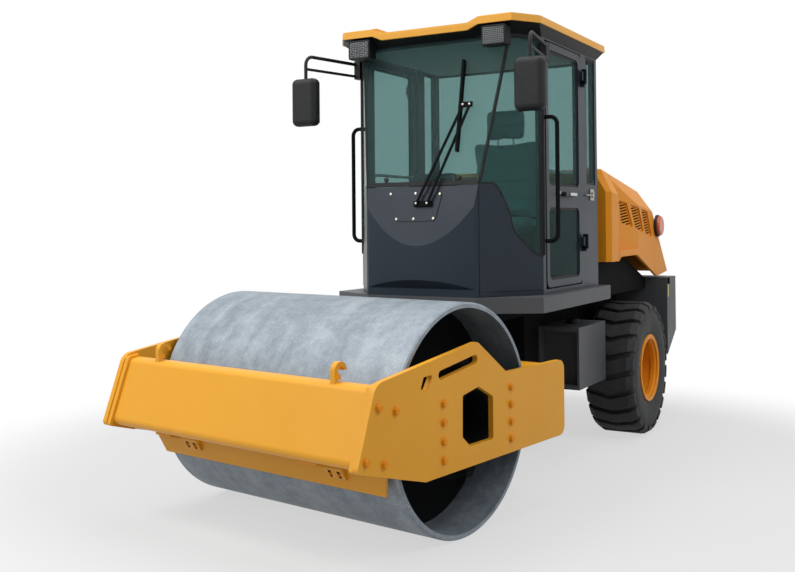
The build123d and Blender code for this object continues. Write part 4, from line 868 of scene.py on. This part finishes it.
@dataclass
class CabFront(Group):
    """Screwed cover, black band, clips and wiper pivots on the raked plane of the cab's front."""

    corners: Spots = ((-0.224, 1.806), (0.155, 1.800), (0.117, 1.622), (-0.161, 1.619))
    screws: Spots = ((-0.205, 1.79), (-0.03, 1.79), (0.137, 1.784), (-0.150, 1.634), (-0.03, 1.634), (0.106, 1.636))
    band: Spots = ((-0.384, 1.8365), (0.384, 1.8365), (0.388, 1.864), (-0.388, 1.864))
    clips: Spots = ((-0.248, 1.880), (0.254, 1.880))
    pivots: Spots = ((-0.0075, 1.724), (0.0675, 1.724), (0.2575, 2.3205), (0.3025, 2.3205))
    wiper_out: float = 0.0335
    gap: float = 0.0005
    plate: float = 0.004
    bend: float = 0.02
    front_x: float = 0.569
    waist_z: float = 1.834
    out: Vector = field(default_factory=lambda: Vector((1, 0, CAB_RAKE)).normalized())

    def on_rake(self, spots: Iterable[Spot], lift: float) -> list[Vector]:
        """Points on the raked plane, lifted off it by so much."""
        return [self.rear(self.front_x - CAB_RAKE * (z - self.waist_z), y, z) + self.out * lift for y, z in spots]

    def dots(self, name: str, spots: Spots, radius: float, depth: float, lift: float, surface: Surface) -> None:
        """Sets small round heads on the plane.

        Args:
            name: Name of the heads.
            spots: Side place and height of each.
            radius: Radius of a head.
            depth: Height of a head.
            lift: How far its middle stands off the plane.
            surface: Its finish.
        """
        head = Bench.disc("head", radius, depth, sides=20, edge=depth * 0.3)
        turn = facing(self.out, (-CAB_RAKE, 0, 1))
        places = [Matrix.Translation(point) @ turn for point in self.on_rake(spots, lift)]
        self.repeat(name, head, places, surface)

    def build(self) -> None:
        """Models the cover with its six screws, then the band, the clips and the pivots."""
        path = self.on_rake((*self.corners, *self.corners[:2]), self.gap)
        outline = Bench.rounded(path, self.bend)[BEND_STEPS + 1:-1]
        self.add(Bench.slab("front_hatch", outline, self.out * self.plate, edge=0.001), Surface.GRAPHITE)
        self.dots("front_hatch_screws", self.screws, radius=0.009, depth=0.006, lift=self.plate + 0.002,
                  surface=Surface.ZINC)
        band = Bench.slab("windscreen_band", self.on_rake(self.band, self.gap), self.out * self.plate, edge=0.0015)
        self.add(band, Surface.GASKET)
        self.dots("windscreen_clips", self.clips, radius=0.016, depth=0.012, lift=0.005, surface=Surface.PLASTIC)
        self.dots("wiper_pivots", self.pivots, radius=0.0075, depth=0.008, lift=self.wiper_out, surface=Surface.ZINC)


@dataclass
class CornerSkin(Group):
    """Pressed skin of a corner panel, whose S-shaped upper edge runs out flat to the pillar, with rubber on its toe.

    Places are distance from the pillar along the corner pane, and height.
    """

    side: Side
    edge: Spots = (
        (0.4480, 1.8345), (0.4094, 1.8358), (0.3790, 1.8387), (0.3522, 1.8375), (0.3418, 1.8333), (0.3264, 1.8200),
        (0.3113, 1.7991), (0.2911, 1.7627), (0.2732, 1.7268), (0.2601, 1.6989), (0.2501, 1.6751), (0.2426, 1.6547),
        (0.2368, 1.6360), (0.2319, 1.6164), (0.2261, 1.5930), (0.2214, 1.5775), (0.2164, 1.5645), (0.2048, 1.5431))
    toe: Spots = (
        (0.1901, 1.5244), (0.1695, 1.5056), (0.1480, 1.4880), (0.1300, 1.4725), (0.1150, 1.4580), (0.1020, 1.4440),
        (0.0890, 1.4300), (0.0740, 1.4170), (0.0550, 1.4060), (0.0300, 1.3980), (0.0000, 1.3945))
    foot: Spots = ((0.0000, 1.1965), (0.4480, 1.1965))
    sill: Spots = ((0.3600, 1.1665), (0.4490, 1.1665), (0.4490, 1.1955), (0.3600, 1.1955))
    rubber: float = 0.014
    rubber_plate: float = 0.0031
    plate: float = 0.0036
    plate_edge: float = 0.001
    start: Spot = (0.2016, 0.6458)
    run: Spot = (0.8165, -0.5773)

    def slab(self, name: str, spots: Iterable[Spot], depth: float, edge: float, surface: Surface) -> None:
        """Adds one flat piece on the outer face of the pane.

        Args:
            name: Name of the piece, without its side.
            spots: Its outline.
            depth: Its thickness.
            edge: Radius of its edges.
            surface: Its finish.
        """
        (x, y), (run_x, run_y), sign = self.start, self.run, self.side.value
        line = [self.rear(x + along * run_x, sign * (y + along * run_y), height) for along, height in spots]
        out = Vector((-run_y, sign * run_x, 0)) * depth
        self.add(Bench.slab(name + "_" + self.side.word, line, out, edge), surface)

    def build(self) -> None:
        """Models the skin, the end of the sill under it and the rubber."""
        skin = (*self.edge, *self.toe, *self.foot)
        self.slab("corner_skin", skin, self.plate, self.plate_edge, Surface.GRAPHITE)
        self.slab("corner_sill", self.sill, self.plate, self.plate_edge, Surface.GRAPHITE)
        inner = []
        for i, (along, height) in enumerate(self.toe):
            before, after = self.toe[max(i - 1, 0)], self.toe[min(i + 1, len(self.toe) - 1)]
            step = Vector((after[0] - before[0], after[1] - before[1])).normalized() * self.rubber
            inner.append((max(0.0, along + step.y), height - step.x))
        self.slab("corner_toe_rubber", (*self.toe, *reversed(inner)), self.rubber_plate, 0.0, Surface.GASKET)


@dataclass
class WorkLamp(Group):
    """Square lamp under each roof ear: pressed lens of small cells and rim on the black housing."""

    middle_y: float = 0.470
    width: float = 0.158
    height: float = 0.120
    proud: float = 0.001
    lens_in: float = 0.010
    cells: int = 11
    cell_wall: float = 0.0025
    cell_depth: float = 0.004
    lens_plate: float = 0.003
    rim_in: float = 0.006
    rim_bar: float = 0.005
    rim_bend: float = 0.012

    def build(self) -> None:
        """Models both lenses and rims on the front of the CAD housings."""
        low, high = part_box("work_lamps")
        y, z = self.width / 2 - self.rim_in, self.height / 2 - self.rim_in
        for side in Side:
            across = self.machine.hitch.y + side.value * self.middle_y
            at = Vector((high.x + self.proud, across, low.z + self.height / 2))
            Bench.clear()
            bpy.ops.mesh.primitive_grid_add(x_subdivisions=self.cells - 2, y_subdivisions=self.cells, size=1)
            lens = bpy.context.object
            lens.name = "work_lamp_lens_" + side.word
            lens.scale = (self.height - 2 * self.lens_in, self.width - 2 * self.lens_in, 1)
            Bench.settle(lens, Matrix.Translation(at) @ ALONG_X)
            with Bench.editing(lens):
                bpy.ops.mesh.inset(thickness=self.cell_wall, depth=self.cell_depth, use_individual=True)
            self.add(Bench.modify(lens, "SOLIDIFY", thickness=self.lens_plate, offset=-1.0), Surface.LENS)
            ring = [at + Vector((0, *spot)) for spot in ((0, z), (y, z), (y, -z), (-y, -z), (-y, z), (0, z))]
            rim = Bench.tube("work_lamp_rim_" + side.word, ring, self.rim_bar, self.rim_bend)
            self.add(rim, Surface.PLASTIC)


@dataclass(frozen=True)
class Box:
    """A rounded block of the cabin: its lengths, its middle on the rear half, its edge radius and finish."""

    name: str
    size: Point
    at: Point
    edge: float
    surface: Surface


@dataclass
class Cabin(Group):
    """What shows through the glass: headliner, floor mat, gauge pod, lever console and the doors' inner rails."""

    boxes: tuple[Box, ...] = (
        Box("headliner", (1.10, 1.12, 0.014), (-0.22, 0.0, 2.733), 0.005, Surface.LINING),
        Box("floor_mat", (0.96, 1.12, 0.008), (-0.33, 0.0, 1.169), 0.003, Surface.GASKET),
        Box("lever_console", (0.46, 0.15, 0.10), (-0.47, -0.365, 1.70), 0.02, Surface.PLASTIC),
        Box("console_stand", (0.20, 0.09, 0.50), (-0.50, -0.365, 1.415), 0.012, Surface.PLASTIC),
        Box("gauge_pod", (0.09, 0.30, 0.15), (0.375, 0.0, 1.845), 0.03, Surface.PLASTIC))
    rib: Point = (0.92, 0.012, 0.006)
    rib_count: int = 22
    rib_span: float = 1.06
    rib_at: Spot = (-0.33, 1.175)
    lever_foot: Point = (-0.34, -0.365, 1.745)
    lever: tuple[Point, ...] = ((0, 0, 0), (0.012, 0, 0.10), (0.05, 0, 0.19))
    knob_at: Point = (0.055, 0, 0.205)
    knob: Spots = ((0.0, -0.03), (0.012, -0.03), (0.018, -0.01), (0.021, 0.012), (0.017, 0.028), (0.0, 0.034))
    dial: Spots = ((0.0, 0.0), (0.026, 0.0), (0.029, 0.004), (0.033, 0.004), (0.035, -0.006), (0.0, -0.006))
    dial_at: Spot = (0.329, 1.855)
    dial_y: tuple[float, ...] = (-0.09, 0.0, 0.09)
    rail: Spots = ((0.10, 0.612), (0.10, 0.572), (-0.42, 0.572), (-0.42, 0.612))
    rail_z: float = 1.94

    def build(self) -> None:
        """Models the blocks, the mat's ribs, the travel lever, the dials facing the seat and the rails."""
        for box in self.boxes:
            self.add(Bench.block(box.name, box.size, self.rear(*box.at), box.edge, segments=3), box.surface)
        (x, z), step = self.rib_at, self.rib_span / (self.rib_count - 1)
        places = [self.rear_place(x, step * i - self.rib_span / 2, z) for i in range(self.rib_count)]
        self.repeat("mat_ribs", Bench.block("rib", self.rib, edge=0.002), places, Surface.GASKET)
        foot = self.rear(*self.lever_foot)
        lever = Bench.tube("travel_lever", [foot + Vector(p) for p in self.lever], radius=0.009, bend=0.04)
        self.add(lever, Surface.STEEL)
        knob_place = Matrix.Translation(foot + Vector(self.knob_at))
        self.add(Bench.turned("lever_knob", self.knob, steps=24), Surface.PLASTIC, place=knob_place)
        (x, z), turn = self.dial_at, facing((-1, 0, 0), (0, 0, 1))
        places = [self.rear_place(x, y, z, turn) for y in self.dial_y]
        self.repeat("gauge_dials", Bench.turned("dial", self.dial, steps=32), places, Surface.LINING)
        for side in Side:
            path = [self.rear(x, y * side.value, self.rail_z) for x, y in self.rail]
            rail = Bench.tube("door_rail_" + side.word, path, radius=0.010, bend=0.02)
            self.add(rail, Surface.LINING, side.door)


@dataclass
class SeatPad(Group):
    """Upholstered part of the seat: a pad swollen by its filling and held by sewn channels."""

    node: str
    shrink: float = 0.016
    corner: float = 0.030
    voxel: float = 0.006
    pressure: float = 4.0
    frames: int = 20
    cap: float = 0.024
    channel_depth: float = 0.007
    channel_width: float = 0.012
    cushion_channels: tuple[float, ...] = (0.22, 0.42, 0.62, 0.82)
    back_channels: tuple[float, ...] = (0.24, 0.46, 0.68)
    back_top: float = 2.190
    head_low: float = 2.215
    head_width: float = 0.294
    head_in: float = 0.005
    post_at: Point = (-0.735, 0.061, 2.205)

    def swell(self, pad: Piece) -> None:
        """Blows the pad up with cloth under pressure, no point further than the cap.

        Args:
            pad: Closed pad to swell.
        """
        Bench.modify(pad, "REMESH", mode="VOXEL", voxel_size=self.voxel)
        before = [corner.co.copy() for corner in pad.data.vertices]
        cloth = pad.modifiers.new("Cloth", "CLOTH")
        cloth.settings.use_pressure = True
        cloth.settings.uniform_pressure_force = self.pressure
        cloth.settings.effector_weights.gravity = 0.0
        cloth.settings.quality = 4
        cloth.collision_settings.use_collision = False
        for frame in range(1, self.frames + 1):
            bpy.context.scene.frame_set(frame)
        Bench.take(pad)
        bpy.ops.object.modifier_apply(modifier=cloth.name)
        for corner, start in zip(pad.data.vertices, before):
            moved = corner.co - start
            if moved.length > self.cap:
                corner.co = start + moved.normalized() * self.cap
        bpy.context.scene.frame_set(1)

    def pad(self, name: str, low: Vector, high: Vector, channels: Sequence[float], along: int, face: int) -> Piece:
        """Models one pad that fills a box.

        Args:
            name: Name of the pad.
            low: Lowest corner of the box.
            high: Highest corner of the box.
            channels: Places of the sewn channels, as parts of the box's length.
            along: Axis the channels are counted along.
            face: Axis that the sat-on face looks along.

        Returns:
            The finished pad.
        """
        middle, size = (low + high) / 2, high - low
        pad = Bench.block(name, [s - 2 * self.shrink for s in size], middle, self.corner, segments=3)
        self.swell(pad)
        least, most = (Vector(pick(v.co[i] for v in pad.data.vertices) for i in range(3)) for pick in (min, max))
        for corner in pad.data.vertices:
            part = [(corner.co[i] - least[i]) / (most[i] - least[i]) for i in range(3)]
            corner.co = [low[i] + part[i] * size[i] for i in range(3)]
        Bench.modify(pad, "SUBSURF", levels=1, render_levels=1)
        lines = [low[along] + part * size[along] for part in channels]
        for corner in pad.data.vertices:
            sunk = max(math.exp(-((corner.co[along] - line) / self.channel_width) ** 2) for line in lines)
            if corner.co[face] > middle[face]:
                corner.co[face] -= self.channel_depth * sunk
        return Bench.smooth(pad, degrees=60)

    def back(self, low: Vector, high: Vector) -> Piece:
        """Models the backrest and the headrest on its posts.

        Args:
            low: Lowest corner of the CAD backrest.
            high: Its highest corner.

        Returns:
            Both pads as one object.
        """
        back = self.pad("seat_back_pad", low, Vector((high.x, high.y, self.back_top)), self.back_channels, 2, 0)
        inset = Vector((self.head_in, (high.y - low.y - self.head_width) / 2, 0))
        head_low = Vector((low.x, low.y, self.head_low)) + inset
        head = self.pad("head_pad", head_low, high - inset, (0.5,), 2, 0)
        made = Bench.join("seat_back_pad", [back, head])
        x, y, z = self.post_at
        places = [self.rear_place(x, across, z) for across in (-y, y)]
        self.repeat("headrest_posts", Bench.disc("post", radius=0.008, depth=0.060, sides=16), places, Surface.STEEL)
        return made

    def build(self) -> None:
        """Models the node's pads in its own box and lets them stand for it."""
        low, high = (Vector(corner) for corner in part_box(self.node))
        if self.node == "seat_cushion":
            made = self.pad("seat_cushion_pad", low, high, self.cushion_channels, 0, 2)
        else:
            made = self.back(low, high)
        self.add(made, Surface.VINYL)
        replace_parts(made, self.node)


@dataclass
class DoorFittings(Group):
    """Black hinge sleeves, plated lever, lock and catch of one door, and its side's mirror glass."""

    side: Side
    hinge: Spot = (-0.513, 0.672)
    hinge_z: Spot = (1.479, 2.589)
    lever: Point = (0.120, 0.007, 0.020)
    lever_at: Point = (-0.235, 0.6905, 1.788)
    lock: Spots = ((0.0, 0.0), (0.019, 0.0), (0.019, 0.005), (0.012, 0.009), (0.011, 0.016), (0.0, 0.016))
    lock_at: Point = (-0.060, 0.6505, 1.795)
    catch_plate: Point = (0.075, 0.078, 0.007)
    catch_nose: Point = (0.028, 0.040, 0.016)
    catch_at: Point = (-0.715, 0.6475, 1.796)
    rod: Spots = ((-0.585, 0.648), (-0.585, 0.664), (-0.695, 0.664))
    rod_z: float = 1.792
    mirror: Point = (0.005, 0.150, 0.262)
    mirror_at: Point = (0.640, 0.770, 2.3895)

    def flank(self, at: Point) -> Vector:
        """A point on this side of the rear half."""
        return self.rear(at[0], self.side.value * at[1], at[2])

    def build(self) -> None:
        """Models the fittings of this side."""
        word, door, turn = self.side.word, self.side.door, self.side.outward
        sleeve = Bench.disc("sleeve", radius=0.0185, depth=0.100, sides=24, edge=0.004)
        places = [Matrix.Translation(self.flank((*self.hinge, z))) for z in self.hinge_z]
        self.repeat("hinge_sleeves_" + word, sleeve, places, Surface.BLACK)
        lever = Bench.block("door_lever_" + word, self.lever, self.flank(self.lever_at), edge=0.003)
        self.add(lever, Surface.STEEL, door)
        lock = Bench.turned("door_lock_" + word, self.lock, steps=28)
        self.add(lock, Surface.ZINC, door, Matrix.Translation(self.flank(self.lock_at)) @ turn)
        plate = Bench.block("plate", self.catch_plate, centre=(0, 0, 0.0035), edge=0.0025)
        nose = Bench.block("nose", self.catch_nose, centre=(0, 0, 0.010), edge=0.004)
        catch = Bench.join("door_catch_" + word, [plate, nose])
        self.add(catch, Surface.ZINC, place=Matrix.Translation(self.flank(self.catch_at)) @ turn)
        rod = [self.flank((*spot, self.rod_z)) for spot in self.rod]
        self.add(Bench.tube("catch_rod_" + word, rod, radius=0.0045, bend=0.008), Surface.ZINC)
        mirror = Bench.block("mirror_glass_" + word, self.mirror, self.flank(self.mirror_at), edge=0.002)
        self.add(mirror, Surface.MIRROR)


@dataclass
class Tail(Group):
    """Lamp bezels, reflectors, latches and the tank's filler cap at the rear."""

    bezel: Spots = ((0.078, -0.012), (0.090, -0.012), (0.090, 0.004), (0.086, 0.010), (0.078, 0.010))
    bezel_at: Point = (-2.262, 0.694, 1.575)
    strip: Point = (0.022, 0.110, 0.004)
    strip_at: Point = (-2.300, 0.761, 1.045)
    latch: Point = (0.030, 0.055, 0.014)
    latch_at: Point = (-2.300, 0.760, 1.122)
    lens: Spots = ((0.0, 0.012), (0.030, 0.010), (0.040, 0.003), (0.042, -0.004), (0.0, -0.004))
    lens_at: Point = (-2.545, 0.62, 1.04)
    cap: Spots = ((0.0, 0.0), (0.050, 0.0), (0.050, 0.012), (0.044, 0.014), (0.044, 0.030), (0.036, 0.036),
                  (0.0, 0.038))
    cap_at: Point = (-0.78, 0.48, 0.895)

    def build(self) -> None:
        """Models the small pieces of both flanks and of the ballast box."""
        bezel = Bench.turned("bezel", self.bezel, steps=48)
        self.repeat("tail_lamp_bezels", bezel, self.both_sides(*self.bezel_at), Surface.PLASTIC, "hood")
        strip = Bench.block("strip", self.strip, edge=0.0015)
        self.repeat("side_reflectors", strip, self.both_sides(*self.strip_at), Surface.STRIP)
        latch = Bench.block("latch", self.latch, centre=(0, 0, 0.006), edge=0.005)
        self.repeat("ballast_latches", latch, self.both_sides(*self.latch_at), Surface.BLACK)
        (x, y, z), back = self.lens_at, facing((-1, 0, 0), (0, 0, 1))
        places = [self.rear_place(x, across, z, back) for across in (-y, y)]
        self.repeat("rear_reflectors", Bench.turned("lens", self.lens, steps=40), places, Surface.AMBER)
        cap = Bench.turned("filler_cap", self.cap, steps=40)
        self.add(cap, Surface.PLASTIC, place=self.rear_place(*self.cap_at))


@dataclass
class RearWheel(Group):
    """Earthmover tyre in place of the faceted CAD one, and the rim's seat ring, nuts and hub cap."""

    side: Side
    outer: float = 0.498
    lug_height: float = 0.030
    lug_root: float = 0.012
    lug_count: int = 22
    lug_width: float = 0.100
    lug_end: float = 0.181
    lug_slope: float = 1.9
    lug_in: float = 0.0003
    sweep: float = 0.050
    shoulder: float = 0.163
    skirt: float = 0.436
    bead: Spots = ((0.231, 0.150), (0.236, 0.163), (0.254, 0.164), (0.264, 0.170))
    wall: Spots = ((0.300, 0.177), (0.345, 0.1835), (0.385, 0.1848), (0.412, 0.182), (0.436, 0.176), (0.452, 0.168))
    crown: Spots = ((-0.004, 0.154), (0.0, 0.120), (0.002, 0.0))
    seat: Spots = ((0.211, 0.120), (0.221, 0.120), (0.232, 0.160), (0.249, 0.172), (0.252, 0.176), (0.247, 0.179),
                   (0.229, 0.170), (0.222, 0.160), (0.211, 0.150))
    cap: Spots = ((0.0, 0.030), (0.070, 0.026), (0.082, 0.016), (0.088, -0.012), (0.118, -0.016), (0.122, -0.024),
                  (0.122, -0.040), (0.0, -0.040))
    nut_count: int = 10
    nut_at: Point = (0.165, 0, -0.080)

    @property
    def tread(self) -> float:
        """Radius of the tyre between its bars."""
        return self.outer - self.lug_height

    def profile(self) -> list[Spot]:
        """Closed section of the carcass as radius and height from the tyre's middle."""
        half = [*self.bead, *self.wall, *((self.tread + rise, height) for rise, height in self.crown)]
        return half + [(r, -h) for r, h in reversed(half[:-1])]

    def lug(self) -> Piece:
        """One tread bar across the tyre, bent to a shallow V and wrapped round its top.

        Returns:
            The bar.
        """
        deep = self.lug_height + self.lug_root
        middle = (0, 0, self.tread - self.lug_root + deep / 2)
        bar = Bench.block("lug", (self.lug_width, 2 * self.lug_end, deep), middle)
        with Bench.editing(bar):
            bpy.ops.mesh.subdivide(number_cuts=7)
        Bench.soften(bar, width=0.005)
        for corner in bar.data.vertices:
            x, y, z = corner.co
            x -= self.sweep * (abs(y) / self.lug_end - 0.5)
            if z < self.tread and abs(y) > self.shoulder:
                z = self.skirt
            reach = min(z, self.outer - self.lug_slope * max(0.0, abs(y) - self.shoulder) - self.lug_in)
            corner.co = (reach * math.sin(x / self.outer), y, reach * math.cos(x / self.outer))
        return bar

    @staticmethod
    def around(count: int, axis: str) -> list[Matrix]:
        """Turns that spread so many copies round an axis."""
        return [Matrix.Rotation(2 * math.pi * i / count, 4, axis) for i in range(count)]

    def build(self) -> None:
        """Models the tyre with its tread bars, then the rim's tapered seat, the hub cap and the nuts."""
        word, body = self.side.word, "wheel_" + self.side.word
        hub = Matrix.Translation(self.machine.joints[body + "_roll"]["pos_m"])
        carcass = Bench.settle(Bench.turned("carcass", self.profile(), steps=96), ALONG_Y)
        lugs = Bench.copies("lugs", self.lug(), self.around(self.lug_count, "Y"))
        tyre = Bench.settle(Bench.join("tyre_" + word, [carcass, lugs]), hub)
        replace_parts(self.add(Bench.smooth(tyre, degrees=28), Surface.RUBBER, body), "wheel_tyre_" + word)
        out = hub @ self.side.outward
        self.add(Bench.turned("rim_seat_" + word, self.seat, steps=72), Surface.ORANGE, body, out)
        self.add(Bench.turned("hub_cap_" + word, self.cap, steps=48), Surface.ORANGE, body, out)
        ring = [out @ turn @ Matrix.Translation(self.nut_at) for turn in self.around(self.nut_count, "Z")]
        nut = Bolt(across=0.026, height=0.018, washer=0.018).make()
        self.repeat("wheel_nuts_" + word, nut, ring, Surface.ZINC, body)


@dataclass(frozen=True)
class Lamp:
    """A soft square lamp: where it hangs, what it shines at, its edge and its power."""

    name: str
    at: Point
    aim: Point
    size: float
    watts: float


@dataclass
class Studio(Group):
    """Floor, lamps, white surround and the photograph's camera."""

    camera_at: Point = (5.861, 2.858, 1.600)
    yaw: float = math.radians(29.962)
    pitch: float = math.radians(0.768)
    roll: float = math.radians(-0.496)
    lens: float = 44.473
    shift: Spot = (0.0045, -0.0933)
    shadow_near: float = 2.4
    shadow_far: float = 4.0
    glow: float = 0.6
    floor_size: float = 80
    floor_drop: float = 0.0005
    soft: float = 0.42
    lamps: tuple[Lamp, ...] = (
        Lamp("key", (6.0, -4.5, 9.5), (0.8, 0.0, 0.8), 4.5, 520),
        Lamp("fill", (1.0, 8.0, 8.0), (0.0, 0.0, 1.0), 5.0, 340),
        Lamp("top", (-0.5, 0.0, 9.0), (0.0, 0.0, 1.0), 7.0, 360),
        Lamp("sky", (9.5, -4.6, 6.3), (0.5, 0.0, 2.0), 6.0, 330))

    def camera(self) -> None:
        """Sets the camera where the photograph was taken from."""
        flat = math.cos(self.pitch)
        view = Vector((-math.cos(self.yaw) * flat, -math.sin(self.yaw) * flat, math.sin(self.pitch)))
        level = view.cross(Vector((0, 0, 1))).normalized()
        upright = level.cross(view)
        right = math.cos(self.roll) * level + math.sin(self.roll) * upright
        up = -math.sin(self.roll) * level + math.cos(self.roll) * upright
        data = bpy.data.cameras.new("photo_camera")
        data.sensor_fit = "HORIZONTAL"
        data.sensor_width = 36.0
        data.lens = self.lens
        data.shift_x, data.shift_y = self.shift
        camera = Bench.put("photo_camera", data)
        camera.matrix_world = self.rear_place(*self.camera_at, Matrix((right, up, -view)).transposed().to_4x4())
        bpy.context.scene.camera = camera

    def light(self) -> None:
        """Hangs the lamps."""
        for lamp in self.lamps:
            data = bpy.data.lights.new(lamp.name, "AREA")
            data.shape = "SQUARE"
            data.size = lamp.size
            data.energy = lamp.watts
            turn = (Vector(lamp.at) - Vector(lamp.aim)).to_track_quat("Z", "Y").to_matrix().to_4x4()
            Bench.put(lamp.name, data).matrix_world = Matrix.Translation(lamp.at) @ turn

    @staticmethod
    def seen(tree: Tree) -> Socket:
        """One for the rays that show the white surround: camera, see-through and mirror rays."""
        path = add_node(tree, "LightPath").outputs
        seen = path["Is Camera Ray"]
        for ray in ("Is Transmission Ray", "Is Glossy Ray"):
            seen = add_node(tree, "Math", {"operation": "ADD", "use_clamp": True, 0: seen, 1: path[ray]}).outputs[0]
        return seen

    def surround(self) -> None:
        """Makes the world light the machine softly while the camera sees white."""
        world = bpy.data.worlds.new("studio")
        tree = emptied(world)
        soft = add_node(tree, "Background", {"Color": linear("#E6ECF2"), "Strength": self.soft})
        white = add_node(tree, "Background", {"Color": linear("#FFFFFF"), "Strength": 1.0})
        mixed = add_node(tree, "MixShader", {0: self.seen(tree), 1: soft.outputs[0], 2: white.outputs[0]})
        add_node(tree, "OutputWorld", {"Surface": mixed.outputs[0]})
        bpy.context.scene.world = world

    def floor(self) -> None:
        """Lays the pale floor, which keeps the machine's shadow and fades to white round it."""
        Bench.clear()
        bpy.ops.mesh.primitive_plane_add(size=self.floor_size, location=(0, 0, -self.floor_drop))
        plane = bpy.context.object
        plane.name = "studio_floor"
        material = bpy.data.materials.new("studio_floor")
        tree = emptied(material)
        matt = add_node(tree, "BsdfDiffuse", {"Color": linear("#AEAEAE")})
        white = add_node(tree, "Emission", {"Color": linear("#FFFFFF")})
        place = add_node(tree, "TexCoord").outputs["Object"]
        away = add_node(tree, "VectorMath", {"operation": "LENGTH", 0: place})
        fade = add_node(tree, "MapRange", {
            "interpolation_type": "SMOOTHSTEP", "From Min": self.shadow_near, "From Max": self.shadow_far,
            "To Min": self.glow, "Value": away.outputs["Value"]})
        amount = add_node(tree, "Math", {"operation": "MULTIPLY", 0: fade.outputs[0], 1: self.seen(tree)})
        mixed = add_node(tree, "MixShader", {0: amount.outputs[0], 1: matt.outputs[0], 2: white.outputs[0]})
        add_node(tree, "OutputMaterial", {"Surface": mixed.outputs[0]})
        plane.data.materials.append(material)

    def build(self) -> None:
        """Sets up the whole studio."""
        self.camera()
        self.surround()
        self.floor()
        self.light()
        bpy.context.scene.view_settings.view_transform = "Standard"


def main() -> None:
    """Builds every sub-assembly in order."""
    logging.basicConfig(level=logging.INFO, format="%(message)s")
    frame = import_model()
    machine = Machine(frame)
    NodeCoats(machine).build()
    FrontFrame(machine).build()
    Glazing(machine).build()
    CabFront(machine).build()
    for side in Side:
        CornerSkin(machine, side).build()
    WorkLamp(machine).build()
    Cabin(machine).build()
    Tail(machine).build()
    for side in Side:
        DoorFittings(machine, side).build()
        RearWheel(machine, side).build()
    for node in ("seat_cushion", "seat_backrest"):
        SeatPad(machine, node).build()
    Studio(machine).build()


if __name__ == "__main__":
    main()
